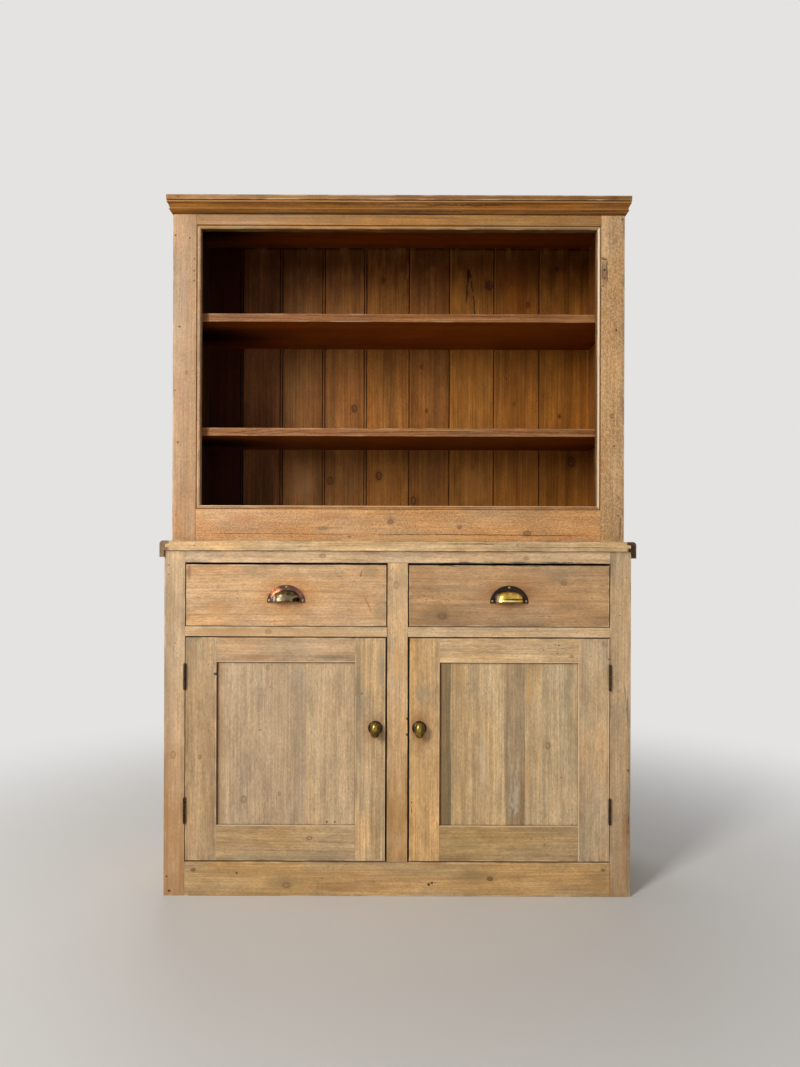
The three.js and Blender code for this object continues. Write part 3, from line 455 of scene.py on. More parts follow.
    spread = [((x_at, low.y, z_at), (wide, halo_depth, tall), stain, strength)
              for x_at, z_at, wide, tall, stain, strength in halos]
    for centre, half, stain, strength in [*spread, *patches]:
        reach = spot(tree, where, centre, half, 0.7)
        shade = mixed(tree, eased(tree, reach, 0.2, 1.1, strength, 0.0), shade, colour(stain))
    for begin, end, half_width, stain, strength in marks:
        drawn = times(tree, stroke(tree, where, begin, end, half_width), strength)
        shade = mixed(tree, drawn, shade, colour(stain))
    rub = min(0.6, wear)
    edge = arris_distance(tree, where, low, high)
    uneven = noise(tree, seeded, (48, 48, 16), detail=4.0)
    soiled = eased(tree, edge, 0.001, 0.016, wear * 0.5, 0.0)
    soiled = times(tree, soiled, eased(tree, uneven, 0.42, 0.66))
    shade = mixed(tree, soiled, shade, dirt_brown)
    rubbed = eased(tree, edge, 0.0012, 0.0044, rub, 0.0)
    rubbed = times(tree, rubbed, eased(tree, uneven, 0.34, 0.54, 1.0, 0.15))
    shade = mixed(tree, rubbed, shade, cream)
    grimy = eased(tree, edge, 0.0003, 0.0015, wear * 1.3, 0.0)
    grimy = times(tree, grimy, eased(tree, uneven, 0.34, 0.6, 0.35, 1.0))
    shade = mixed(tree, grimy, shade, darker(dirt_brown, 0.45))
    for axis, at, reach, stain, strength in shades:
        off = sum_of(tree, "ABSOLUTE", sum_of(tree, "SUBTRACT", place[axis], at))
        cover = eased(tree, off, 0.0, reach, strength, 0.0)
        cover = times(tree, cover, eased(tree, uneven, 0.3, 0.56, 0.6, 1.0))
        if bare:
            cover = times(tree, cover, sum_of(tree, "SUBTRACT", 1.0, behind))
        shade = mixed(tree, cover, shade, colour(stain))
    for stain_low, stain_high, stain, strength in stains:
        x_in, y_in, z_in = box_reach(tree, where, stain_low, stain_high)
        within = sum_of(tree, "MINIMUM", sum_of(tree, "MINIMUM", x_in, y_in), z_in)
        cover = eased(tree, within, 0.0, 0.0015, 0.0, strength)
        shade = mixed(tree, cover, shade, mixed(tree, 1.0, shade, colour(stain), "MULTIPLY"))
    relief_height = sum_of(tree, "MULTIPLY_ADD", line, 0.5, times(tree, fibre, 0.8))
    sunk = []
    for x_at, z_at, radius in holes:
        reach = spot(tree, where, (x_at, low.y, z_at), (radius, radius * 3, radius), 0.5)
        sunk.append(eased(tree, reach, 0.55, 1.05, 1.0, 0.0))
    for begin, end, half_width in cracks:
        sunk.append(stroke(tree, where, begin, end, half_width))
    if sunk:
        sunk = strongest(tree, *sunk)
        shade = mixed(tree, times(tree, sunk, 0.88), shade, colour(hole_black_and_gap_shade))
        relief_height = sum_of(tree, "MULTIPLY_ADD", sunk, -4.0, relief_height)
    gloss = sum_of(tree, "MULTIPLY_ADD", patch, 0.16, rough - 0.18)
    gloss = sum_of(tree, "MULTIPLY_ADD", fibre, 0.2, gloss)
    dents = noise(tree, seeded, (38, 38, 16), detail=3.0)
    dents = sum_of(tree, "MULTIPLY_ADD", dents, 2.2, sum_of(tree, "MULTIPLY_ADD", grains, 0.9, relief_height))
    bumps = put(tree, "Bump", {"Strength": 0.6, "Distance": 0.0004 * relief, "Height": dents})
    wood = {"Base Color": shade, "Roughness": gloss, "Normal": bumps.outputs[0], "Specular IOR Level": gleam}
    surface(tree, put(tree, "BsdfPrincipled", wood).outputs[0])
    return material


def smoothed(mesh, sharp=38):
    mesh.polygons.foreach_set("use_smooth", [True] * len(mesh.polygons))
    mesh.set_sharp_from_angle(angle=math.radians(sharp))
    return mesh


def planed(node, arris=0.0009, least=0.012, smooth=False, inset=0.0):
    """A clean copy of a board's mesh with its long arrises taken off with a plane, and its back
    face, where it has an inset, set in so that nail heads stay flush."""
    shape = bmesh.new()
    shape.from_mesh(frame["nodes"][node].data)
    bmesh.ops.remove_doubles(shape, verts=shape.verts, dist=1e-6)
    bmesh.ops.dissolve_limit(shape, angle_limit=math.radians(0.6), verts=shape.verts, edges=shape.edges)
    if inset:
        back = max(vert.co.y for vert in shape.verts)
        for vert in shape.verts:
            if vert.co.y > back - 1e-5:
                vert.co.y -= inset
    if arris:
        corners = [e for e in shape.edges if e.is_manifold and e.calc_length() > least
                   and e.calc_face_angle(0) > math.radians(50)]
        bmesh.ops.bevel(shape, geom=corners, offset=arris, segments=2, profile=0.6, affect="EDGES",
                        clamp_overlap=False, loop_slide=True)
    mesh = meshed(node, shape)
    return smoothed(mesh) if smooth else mesh


body_of = {node: body for body, nodes in frame["record"]["behaviour"]["bodies"].items() for node in nodes}


def fitted(node, name, mesh, material):
    """Puts a finished piece in place of the plain solid of the same part."""
    mesh.materials.clear()
    mesh.materials.append(material)
    piece = shown(name, mesh)
    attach(piece, body_of[node])
    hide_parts(node)


def board(node, grain, seed, tone, arris=0.0009, smooth=False, inset=0.0, **looks):
    material = pine(node + "_pine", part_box(node), grain, seed, tone, **looks)
    fitted(node, node + "_board", planed(node, arris, smooth=smooth, inset=inset), material)


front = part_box("muntin")[0].y
bare_gold = (232, 178, 104)
# A dark brown painted as shade in the gaps between doors, muntin and rails and in the quirks beside the
# beads.
gap_shade_brown = (44, 28, 18)

board("base_stile_left", "z", 11, (202, 172, 135), contrast=0.55, heart=(0.03, 0.05),
      # Painted shade: darker and warmer towards the floor, where less light falls.
      shades=[(2, 0.10, 0.66, (164, 114, 60), 0.62)],
      knots=[(-0.5859, 0.3676, 0.0075, 0.2)],
      holes=[(-0.599, 0.8635, 0.0022), (-0.599, 0.84, 0.0018), (-0.595, 0.012, 0.004), (-0.602, 0.05, 0.003)],
      halos=[(-0.598, 0.03, 0.022, 0.05, (150, 104, 60), 0.5),
             (-0.600, 0.19, 0.008, 0.05, (176, 124, 70), 0.5)])
board("base_stile_right", "z", 12, (187, 159, 122), contrast=0.7, heart=(-0.04, 0.03),
      # Painted shade: darker towards the floor, where less light falls.
      shades=[(2, 0.10, 0.40, (146, 108, 66), 0.4)],
      knots=[(0.6042, 0.331, 0.003, 0.6)],
      holes=[(0.599, 0.8347, 0.0018), (0.5807, 0.7356, 0.0018), (0.6042, 0.331, 0.0022)],
      cracks=[((0.603, 0.16), (0.606, 0.22), 0.0014), ((0.594, 0.56), (0.601, 0.47), 0.0007),
              ((0.602, 0.53), (0.602, 0.45), 0.0006)],
      halos=[(0.600, 0.18, 0.014, 0.06, (150, 96, 46), 0.55)])
board("plinth_rail", "x", 13, (188, 152, 100), contrast=0.6, heart=(-0.02, 0.06), greyness=0.35,
      knots=[(-0.5322, 0.0674, 0.0045, 0.7), (0.244, 0.0465, 0.006, 0.8), (-0.2884, 0.0283, 0.008, 0.3),
             (0.539, 0.07, 0.004, 0.6)],
      holes=[(-0.4189, 0.0596, 0.003), (0.0835, 0.0309, 0.005), (0.092, 0.035, 0.004), (0.1, 0.036, 0.002)],
      halos=[(-0.30, 0.035, 0.07, 0.03, (120, 104, 76), 0.5),
             (0.2, 0.055, 0.06, 0.03, (140, 112, 70), 0.5),
             (0.53, 0.045, 0.04, 0.04, (140, 114, 76), 0.5)])
board("mid_rail", "x", 14, (209, 179, 139), contrast=0.45, heart=(0.01, 0.03),
      knots=[(-0.338, 0.6912, 0.0065, 0.55), (-0.02, 0.69, 0.003, 0.4)],
      halos=[(-0.44, 0.691, 0.12, 0.012, (196, 140, 84), 0.45),
             (-0.32, 0.684, 0.34, 0.03, (196, 150, 98), 0.45)])
board("base_top_rail", "x", 15, (215, 182, 141), contrast=0.4, heart=(0.01, 0.05),
      knots=[(-0.1971, 0.8896, 0.006, 0.15), (0.3354, 0.8843, 0.005, 0.2)],
      # Painted shade in the gap above the right drawer.
      marks=[((0.03, 0.8722), (0.55, 0.8726), 0.0017, gap_shade_brown, 0.95)])
board("muntin", "z", 16, (217, 177, 128), contrast=0.5, heart=(-0.02, 0.04),
      # Painted shade: darker towards the floor, and in the gaps beside the doors.
      shades=[(2, 0.12, 0.42, (154, 114, 58), 0.75), (0, -0.0275, 0.0014, gap_shade_brown, 0.9),
              (0, 0.0275, 0.0014, gap_shade_brown, 0.9)],
      knots=[(-0.004, 0.8139, 0.0075, 0.1)],
      holes=[(0.0262, 0.4641, 0.0042), (0.0262, 0.4224, 0.0042), (0.0262, 0.27, 0.002)],
      halos=[(0.026, 0.443, 0.006, 0.028, bare_gold, 0.85),
             (-0.027, 0.36, 0.005, 0.30, bare_gold, 0.55),
             (0.0, 0.61, 0.02, 0.06, bare_gold, 0.35),
             (0.01, 0.83, 0.026, 0.05, (168, 146, 108), 0.5),
             (-0.016, 0.2, 0.012, 0.06, (186, 122, 62), 0.5)])

# Carcass of the base. Wide pine side boards with the drawer runners glued on, a floor, a centre
# runner and thin tongued boards nailed on behind. Inside, the wood was never finished.
raw_pine = (196, 164, 118)
side_pine = (206, 170, 124)
side_strips = [(0.0, (1.0, 0.98, 0.95)), (0.36, (0.92, 0.90, 0.86)), (0.7, (1.04, 1.01, 0.97))]
side_looks = {"contrast": 0.5, "ring_width": 0.005, "strips": side_strips, "strip_axis": 1}
board("base_side_left", "z", 21, side_pine, heart=(0.06, -0.02), **side_looks)
board("base_side_right", "z", 22, side_pine, heart=(-0.06, 0.03), **side_looks)
board("base_floor", "x", 23, raw_pine, contrast=0.5, heart=(-0.05, 0.06), wear=0.3, rough=0.7)
board("centre_runner", "y", 24, raw_pine, contrast=0.5, wear=0.3, rough=0.7)
board_ends = [0.0, 0.16, 0.33, 0.5, 0.665, 0.835]
board_tints = [(1.0, 1.0, 1.0), (0.9, 0.88, 0.85), (1.03, 1.0, 0.95), (0.86, 0.84, 0.8),
               (0.98, 0.95, 0.9), (0.92, 0.9, 0.88)]
head_inset = 0.0005
board("base_back_boards", "z", 25, raw_pine, inset=head_inset, contrast=0.55, ring_width=0.0055, wear=0.3,
      rough=0.7, strips=list(zip(board_ends, board_tints)))

# Worktop and its cleats. Boards run the width of the base, worn pale along the front edge, and a
# rounded cleat is tongued on across each end, where its darker end grain shows in front.
top_strips = [(0.0, (1.0, 1.0, 1.0)), (0.34, (0.93, 0.91, 0.88)), (0.68, (1.03, 1.0, 0.96))]
board("worktop", "x", 31, (218, 183, 133), contrast=0.6, heart=(-0.05, 0.02), wander=0.02, wear=0.55,
      strips=top_strips, strip_axis=1, holes=[(-0.53, 0.915, 0.002), (0.31, 0.917, 0.002)],
      cracks=[((0.12, 0.921), (0.26, 0.921), 0.0008), ((-0.3, 0.9145), (-0.08, 0.9155), 0.0006),
              ((0.3, 0.912), (0.56, 0.913), 0.0007)])
for hand, seed, tone, gleam in (("left", 32, (128, 92, 61), 0.4), ("right", 33, (62, 38, 20), 0.15)):
    board("worktop_cleat_" + hand, "y", seed, tone, contrast=0.7, heart=(0.0, 0.03), smooth=True,
          arris=0.0, gleam=gleam)

# Doors. Each has two stiles and two rails tenoned together round a flat panel glued up from
# boards, some of them grey where the last of the paint came off.
left_strips = [(0.0, (1.0, 1.0, 1.03)), (0.36, (0.97, 0.97, 1.0)), (0.635, (1.10, 1.10, 1.09))]
right_strips = [(0.0, (0.46, 0.475, 0.41)), (0.098, (1.10, 1.05, 0.94)), (0.22, (1.08, 1.07, 1.0)),
                (0.478, (0.72, 0.70, 0.67)), (0.612, (1.04, 1.03, 0.97)), (0.72, (1.0, 1.03, 1.03))]
knob_x = 0.0575
knob_z = 0.44
stripped_grey = (150, 140, 120)
# A brown for rubbed patches, and also for the wide band of painted shade beside the sunk panels.
rubbed_brown_and_shade = (168, 124, 76)
shadow_brown = (58, 38, 24)
paint_white = (214, 206, 190)
panel_near = 0.1105
panel_far = 0.4735
panel_top = 0.611
panel_foot = 0.184


def worn_edge_and_highlight(axis, at, strength=0.75):
    """The pale line where an arris has been rubbed through to fresh wood, brightened further as a painted
    highlight where the arris catches the light.
    """
    return (axis, at, 0.0026, worn_cream, strength)


def sunk_panel_shade(left):
    """Painted shade along the left side and the top of a sunk panel, where the stile and rail cast their
    shadow, and thin lines of it along its foot and right side.
    """
    right = left + panel_far - panel_near
    return [(0, left, 0.024, rubbed_brown_and_shade, 0.6), (0, left, 0.0095, shadow_brown, 0.95),
            (2, panel_top, 0.012, rubbed_brown_and_shade, 0.5), (2, panel_top, 0.0042, shadow_brown, 0.9),
            (2, panel_foot, 0.0030, shadow_brown, 0.6), (0, right, 0.0028, shadow_brown, 0.5)]


board("door_left_hinge_stile", "z", 41, (181, 150, 111), contrast=0.5, heart=(0.02, 0.07),
      shades=[worn_edge_and_highlight(0, -panel_far, 0.5)],
      greyness=0.5, knots=[(-0.5155, 0.3623, 0.0045, 0.3)],
      holes=[(-0.4768, 0.5795, 0.0045), (-0.4735, 0.5795, 0.0045), (-0.505, 0.34, 0.0014)],
      halos=[(-0.535, 0.635, 0.012, 0.03, rubbed_brown_and_shade, 0.45)])
board("door_left_lock_stile", "z", 42, (203, 171, 127), contrast=0.5, heart=(-0.03, 0.05),
      # Pale rubbed edges with painted highlight, and painted shade in the gap beside the muntin.
      shades=[worn_edge_and_highlight(0, -panel_near, 0.3), worn_edge_and_highlight(0, -0.0325, 0.45),
              (0, -0.0297, 0.0012, gap_shade_brown, 0.9)],
      streaks=0.2, greyness=0.6, holes=[(-0.0927, 0.5294, 0.0024)],
      halos=[(-knob_x, knob_z, 0.03, 0.045, (140, 92, 46), 0.5),
             (-0.045, 0.60, 0.012, 0.07, stripped_grey, 0.5)])
board("door_left_top_rail", "x", 43, (191, 156, 117), contrast=0.45, heart=(0.02, 0.05),
      shades=[worn_edge_and_highlight(2, panel_top + 0.001, 0.6)],
      holes=[(-0.4737, 0.6625, 0.0015)],
      halos=[(-0.36, 0.625, 0.08, 0.007, rubbed_brown_and_shade, 0.7),
             (-0.17, 0.624, 0.065, 0.008, (124, 106, 80), 0.6)])
board("door_left_bottom_rail", "x", 44, (187, 156, 112), contrast=0.5, heart=(0.03, 0.05),
      shades=[worn_edge_and_highlight(2, panel_foot)],
      knots=[(-0.2294, 0.1509, 0.0055, 0.3)],
      marks=[((-0.47, 0.1205), (-0.12, 0.1165), 0.0011, (104, 82, 56), 0.7)],
      halos=[(-0.29, 0.104, 0.19, 0.012, (142, 128, 98), 0.5)])
board("door_left_panel", "z", 45, (188, 162, 128), contrast=0.35, heart=(0.01, 0.09), wander=0.02,
      strips=left_strips, greyness=0.22, grey=(176, 160, 130), blush=0.2, shades=sunk_panel_shade(-panel_far),
      knots=[(-0.3393, 0.5959, 0.0045, 0.05), (-0.3093, 0.2645, 0.004, 0.1), (-0.4019, 0.2501, 0.007, 0.1)],
      holes=[(-0.184, 0.1915, 0.0032), (-0.1631, 0.1915, 0.0026), (-0.36, 0.432, 0.0022)],
      marks=[((-0.258, 0.61), (-0.256, 0.19), 0.0090, stripped_grey, 0.35),
             ((-0.252, 0.61), (-0.250, 0.45), 0.0016, stripped_grey, 0.6),
             ((-0.247, 0.52), (-0.249, 0.20), 0.0012, stripped_grey, 0.5)])

board("door_right_hinge_stile", "z", 51, (204, 169, 124), contrast=0.5, heart=(0.02, 0.07),
      shades=[worn_edge_and_highlight(0, panel_far, 0.95), worn_edge_and_highlight(0, 0.5535, 0.5)],
      greyness=0.45, holes=[(0.5533, 0.6207, 0.0024)],
      halos=[(0.541, 0.66, 0.012, 0.014, (120, 84, 56), 0.5)])
board("door_right_lock_stile", "z", 52, (213, 170, 112), contrast=0.5, heart=(-0.03, 0.05),
      shades=[worn_edge_and_highlight(0, panel_near, 0.5)],
      blush=0.35, knots=[(0.0577, 0.5163, 0.0035, 0.1)], holes=[(0.0377, 0.245, 0.0022)],
      cracks=[((0.036, 0.24), (0.040, 0.215), 0.0010)],
      halos=[(knob_x, knob_z, 0.034, 0.06, (150, 96, 40), 0.6),
             # Painted shadow of the knob, below it and to the right.
             (knob_x + 0.004, 0.395, 0.007, 0.04, (170, 116, 62), 0.35),
             (0.06, 0.3, 0.02, 0.05, (226, 184, 118), 0.4),
             (0.066, 0.53, 0.03, 0.03, stripped_grey, 0.45)])
board("door_right_top_rail", "x", 53, (212, 178, 133), contrast=0.5, heart=(0.02, 0.05),
      shades=[worn_edge_and_highlight(2, panel_top + 0.001, 0.7)],
      knots=[(0.4554, 0.6286, 0.004, 0.3)], holes=[(0.4215, 0.6573, 0.0025), (0.4135, 0.6595, 0.0018)])
board("door_right_bottom_rail", "x", 54, (177, 145, 97), contrast=0.55, heart=(0.03, 0.05),
      shades=[worn_edge_and_highlight(2, panel_foot)],
      knots=[(0.078, 0.1500, 0.003, 0.2), (0.352, 0.152, 0.0025, 0.2)],
      holes=[(0.069, 0.127, 0.0013), (0.072, 0.143, 0.0012)],
      halos=[(0.19, 0.135, 0.06, 0.016, (140, 120, 84), 0.4)])
board("door_right_panel", "z", 55, (192, 165, 127), contrast=0.4, heart=(0.01, 0.09), wander=0.02,
      strips=right_strips, greyness=0.35, grey=(176, 160, 134), streaks=0.15,
      shades=sunk_panel_shade(panel_near),
      knots=[(0.3954, 0.3937, 0.007, 0.3)],
      holes=[(0.36, 0.377, 0.002), (0.43, 0.31, 0.0018), (0.213, 0.424, 0.0012)],
      marks=[((0.2815, 0.62), (0.283, 0.19), 0.0007, (110, 84, 58), 0.7),
             ((0.3325, 0.50), (0.333, 0.19), 0.0007, (96, 78, 60), 0.7),
             ((0.128, 0.60), (0.122, 0.44), 0.0010, (96, 86, 70), 0.7),
             ((0.299, 0.36), (0.297, 0.19), 0.0040, paint_white, 0.28),
             ((0.307, 0.32), (0.311, 0.20), 0.0050, paint_white, 0.34),
             ((0.318, 0.38), (0.314, 0.22), 0.0034, paint_white, 0.26),
             ((0.292, 0.46), (0.296, 0.33), 0.0026, paint_white, 0.22),
             ((0.302, 0.245), (0.303, 0.225), 0.0020, paint_white, 0.6)],
      patches=[((0.345, front, 0.55), (0.012, 0.03, 0.07), (206, 158, 96), 0.5),
               ((0.343, front, 0.30), (0.010, 0.03, 0.10), (206, 158, 96), 0.45),
               ((0.225, front, 0.36), (0.012, 0.03, 0.16), (206, 190, 166), 0.35)])

# Drawers. Each front is one board, half-blind dovetailed to thin sides, with a dark halo of wax
# and handling round its pull. The sides, back and bottom are bare pine.
pull_x = 0.2915
pull_z = 0.786
fresh_orange = (190, 122, 52)
handled_brown = (108, 66, 32)
corner_grey = (150, 132, 98)
board("drawer_left_front", "x", 61, (209, 167, 119), arris=0.0016, contrast=0.4, heart=(0.01, 0.06),
      wander=0.02, flecks=0.35,
      # Painted shade in the gap above the drawer.
      cracks=[((-0.0953, 0.851), (-0.0958, 0.834), 0.0012)], shades=[(2, 0.8665, 0.0016, hole_black_and_gap_shade, 0.9)],
      marks=[((-0.54, 0.7975), (-0.10, 0.7935), 0.0007, (146, 92, 48), 0.8),
             ((-0.096, 0.800), (-0.062, 0.733), 0.0022, (198, 132, 74), 0.8),
             ((-0.092, 0.790), (-0.066, 0.737), 0.0007, (120, 84, 50), 0.7)],
      halos=[(-pull_x, pull_z, 0.110, 0.062, fresh_orange, 0.6),
             (-pull_x, pull_z, 0.060, 0.034, handled_brown, 0.65),
             (-0.386, 0.852, 0.03, 0.014, corner_grey, 0.45),
             (-0.546, 0.85, 0.008, 0.03, (128, 84, 52), 0.6),
             (-0.048, 0.745, 0.022, 0.04, corner_grey, 0.55),
             (-0.07, 0.845, 0.03, 0.022, corner_grey, 0.45),
             (-0.47, 0.757, 0.05, 0.02, (196, 134, 76), 0.45)])
board("drawer_right_front", "x", 71, (186, 146, 100), arris=0.0016, contrast=0.45, heart=(0.01, 0.06),
      wander=0.02, flecks=0.35, knots=[(0.1161, 0.733, 0.009, 0.45), (0.4346, 0.8191, 0.006, 0.3)],
      # Painted shade in the gap above the drawer, thickened by a line drawn along it.
      shades=[(2, 0.8665, 0.0020, hole_black_and_gap_shade, 0.95)],
      marks=[((0.02, 0.8645), (0.46, 0.8650), 0.0013, hole_black_and_gap_shade, 1.0)],
      halos=[(pull_x, pull_z, 0.105, 0.060, (166, 106, 48), 0.6),
             (pull_x, pull_z, 0.060, 0.034, handled_brown, 0.65),
             (0.10, 0.74, 0.07, 0.035, (120, 98, 68), 0.5),
             (0.42, 0.835, 0.05, 0.03, (120, 104, 80), 0.45),
             (0.07, 0.85, 0.04, 0.02, (120, 98, 66), 0.4)])
thin_boards = (("side_left", "y"), ("side_right", "y"), ("back", "x"))
for hand, seed in (("left", 62), ("right", 72)):
    for number, (part, grain) in enumerate(thin_boards):
        board(f"drawer_{hand}_{part}", grain, seed + number, raw_pine, arris=0.0006, contrast=0.5, wear=0.3,
              rough=0.68)
    board(f"drawer_{hand}_bottom", "x", seed + len(thin_boards), raw_pine, arris=0.0, contrast=0.5, wear=0.2,
          rough=0.7)

# Face frame of the upper section. Two stiles and two rails with a bead worked on the inner edge.
# The old shellac has broken into a fine speckle, and the right stile keeps the scar of a hinge.
upper_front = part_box("upper_stile_left")[0].y
scar_brown = (78, 50, 36)
beaded = {"smooth": True, "arris": 0.0008}
board("upper_stile_left", "z", 81, (194, 151, 108), contrast=0.35, speckle=0.10, blush=0.5,
      **beaded, knots=[(-0.5731, 1.3828, 0.0042, 0.3)],
      holes=[(-0.6041, 1.7536, 0.0026), (-0.565, 1.7469, 0.0024), (-0.5529, 1.6902, 0.002),
             (-0.5529, 1.6579, 0.0024), (-0.5529, 1.6309, 0.002), (-0.592, 1.5068, 0.003),
             (-0.596, 1.194, 0.003), (-0.604, 1.335, 0.0022)])
board("upper_stile_right", "z", 82, (191, 148, 97), contrast=0.25, speckle=0.30, **beaded,
      knots=[(0.5758, 1.2695, 0.005, 0.3), (0.5947, 1.0483, 0.003, 0.5)],
      holes=[(0.5885, 1.5014, 0.003), (0.5947, 0.9998, 0.0028), (0.5839, 1.1886, 0.0028),
             (0.5537, 1.6214, 0.0024), (0.6028, 1.8008, 0.003), (0.556, 1.665, 0.004), (0.557, 1.642, 0.003)],
      marks=[((0.547, 1.694), (0.566, 1.690), 0.0030, scar_brown, 0.9),
             ((0.562, 1.695), (0.564, 1.625), 0.0020, scar_brown, 0.9),
             ((0.551, 1.690), (0.551, 1.640), 0.0014, scar_brown, 0.8)],
      patches=[((0.556, upper_front + 0.002, 1.655), (0.011, 0.01, 0.042), (112, 76, 50), 0.7)],
      cracks=[((0.6005, 0.93), (0.6005, 1.0), 0.0012)],
      # Painted shade along the opening edge and in the quirk, and a painted highlight on the bead where it
      # faces the light.
      shades=[(0, 0.5365, 0.0016, gap_shade_brown, 0.7), (0, 0.5405, 0.0044, (255, 232, 200), 0.95),
              (0, 0.5455, 0.0018, gap_shade_brown, 0.85)])
board("upper_top_rail", "x", 83, (157, 113, 55), contrast=0.55, **beaded,
      # Painted shade under the bead and a painted highlight on it.
      shades=[(2, 1.7710, 0.0036, gap_shade_brown, 0.85), (2, 1.7770, 0.0026, (214, 170, 120), 0.5)],
      holes=[(0.12, 1.822, 0.0022)])
board("upper_bottom_rail", "x", 84, (204, 150, 88), contrast=0.45, speckle=0.28, blush=0.55,
      **beaded,
      knots=[(-0.0202, 0.9809, 0.006, 0.2), (0.1659, 0.9674, 0.005, 0.5), (-0.1308, 0.9405, 0.003, 0.7),
             (0.3493, 0.9512, 0.008, 0.4)],
      cracks=[((-0.10, 0.9475), (0.545, 0.9455), 0.0009), ((-0.53, 0.948), (-0.10, 0.9475), 0.0006)],
      # A painted highlight on the bead and painted shade in its quirk.
      shades=[(2, 1.0250, 0.0036, (240, 204, 156), 0.8), (2, 1.0203, 0.0016, gap_shade_brown, 0.75)],
      halos=[(-0.0202, 0.985, 0.012, 0.016, (104, 86, 70), 0.55),
             (-0.2, 0.964, 0.03, 0.008, (104, 86, 70), 0.5),
             (-0.42, 0.99, 0.05, 0.02, (176, 108, 52), 0.5),
             (-0.18, 1.0, 0.09, 0.014, (170, 112, 58), 0.45),
             (0.1, 0.938, 0.3, 0.009, (216, 176, 118), 0.5)])

# Carcass of the upper section. The sides are golden outside; the shelves are housed in them, with
# a strong red-brown figure on their front edges, and everything within is dark with old stain,
# with painted shade that deepens it on the left and under the top.
stain = (156, 100, 46)
within_low = Vector((-0.595, -0.0985, 0.95))
within_high = Vector((0.595, 0.25, 1.8465))
# The inside of the left side is darkened far more than the right: painted shade where the lamp's light does
# not reach.
left_stain_and_shade = (100, 80, 68)
right_stain = (207, 170, 112)
shadow_stain = (219, 160, 24)
golden_side = (196, 154, 108)
board("upper_side_left", "z", 91, golden_side, heart=(0.06, -0.03), gleam=0.25,
      stains=[(within_low, within_high, left_stain_and_shade, 1.0)], **side_looks)
board("upper_side_right", "z", 92, golden_side, heart=(-0.06, 0.03), gleam=0.25,
      stains=[(within_low, within_high, right_stain, 1.0)], **side_looks)
board("upper_floor", "x", 93, (104, 58, 24), contrast=0.5, heart=(-0.05, 0.04), gleam=0.15)
shelf_low = Vector((-0.6, -0.0905, 1.0))
# Near-black for painted shade in the left corners of the upper section.
corner_shade_black = (12, 7, 4)
shelf_figure = (92, 48, 24)
shelf_gold = (196, 146, 88)
shelf_looks = {"gleam": 0.15, "greyness": 0.1, "contrast": 0.9, "ring_width": 0.0045,
               "late": (0.5, 0.32, 0.25), "wear": 0.25,
               "stains": [(shelf_low, within_high, shadow_stain, 1.0)]}


def painted_corner_shade(level):
    """Painted shade under a board on the left, where no light reaches."""
    return ((-0.60, 0.06, level), (0.32, 0.135, 0.012), corner_shade_black, 0.95)


board("shelf_lower", "x", 94, (153, 103, 59), heart=(0.002, -0.17), wander=0.05,
      patches=[painted_corner_shade(1.217)], **shelf_looks,
      marks=[((-0.48, 1.222), (-0.36, 1.236), 0.0014, shelf_figure, 0.7),
             ((-0.43, 1.220), (-0.30, 1.234), 0.0014, shelf_figure, 0.7),
             ((-0.36, 1.220), (-0.24, 1.233), 0.0014, shelf_figure, 0.7),
             ((-0.28, 1.223), (0.06, 1.230), 0.0016, shelf_figure, 0.7),
             ((-0.20, 1.236), (0.30, 1.232), 0.0013, shelf_gold, 0.6),
             ((0.02, 1.222), (0.40, 1.229), 0.0014, shelf_figure, 0.6),
             ((0.20, 1.233), (0.57, 1.226), 0.0014, shelf_figure, 0.7),
             ((0.36, 1.222), (0.58, 1.220), 0.0014, shelf_gold, 0.6)],
      cracks=[((0.0, 1.231), (0.23, 1.230), 0.0006)])
board("shelf_upper", "x", 95, (152, 103, 59), heart=(-0.03, -0.15), wander=0.04,
      patches=[painted_corner_shade(1.53)], **shelf_looks,
      marks=[((-0.55, 1.543), (-0.20, 1.536), 0.0014, shelf_figure, 0.6),
             ((-0.34, 1.548), (0.10, 1.541), 0.0014, shelf_figure, 0.6),
             ((-0.10, 1.534), (0.34, 1.540), 0.0014, shelf_gold, 0.5),
             ((0.10, 1.548), (0.52, 1.542), 0.0014, shelf_figure, 0.6)])
back_joints = [0.0, 0.096, 0.1985, 0.3085, 0.4165, 0.5265, 0.6305, 0.7455, 0.863]
# The first board on the left is tinted almost black: painted shade where the left side and stile keep the
# light off; the others vary in tone from board to board.
back_tints_and_shade = [(0.18, 0.10, 0.12), (0.76, 0.76, 1.2), (0.76, 0.84, 1.03), (0.93, 1.0, 1.19),
              (1.1, 1.18, 1.2), (0.86, 0.90, 0.97), (1.07, 1.16, 0.98), (1.06, 1.08, 0.84),
              (1.06, 1.11, 0.85)]
unstained = (1.35, 2.2, 4.2, 1.0)
resin_brown = (46, 20, 10)
joint_and_shade_black = (20, 8, 4)
beaded_joints = 4
quirk_at = -0.0079
joint_reach = 0.0028
quirk_reach = 0.0026
bead_reach = 0.0016
bead_highlight = (128, 70, 38)
chamfer_at = 0.0046
chamfer_reach = 0.0022
chamfer_highlight = (176, 116, 60)
back_low, back_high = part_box("upper_back_boards")
# Each joint gets a dark line; a beaded joint also gets its quirk and a painted highlight on its bead, a plain
# one a painted highlight on its chamfer.
joint_shades = []
for number, share in enumerate(back_joints[1:]):
    at = back_low.x + share * (back_high.x - back_low.x)
    joint_shades.append((0, at, joint_reach, joint_and_shade_black, 1.0))
    if number < beaded_joints:
        joint_shades.append((0, at + quirk_at, quirk_reach, joint_and_shade_black, 1.0))
        joint_shades.append((0, at + quirk_at / 2, bead_reach, bead_highlight, 0.5))
    else:
        joint_shades.append((0, at + chamfer_at, chamfer_reach, chamfer_highlight, 0.6))
# Painted shade in the right corner, where the back meets the side.
joint_shades.append((0, back_high.x - 0.002, 0.004, joint_and_shade_black, 0.9))
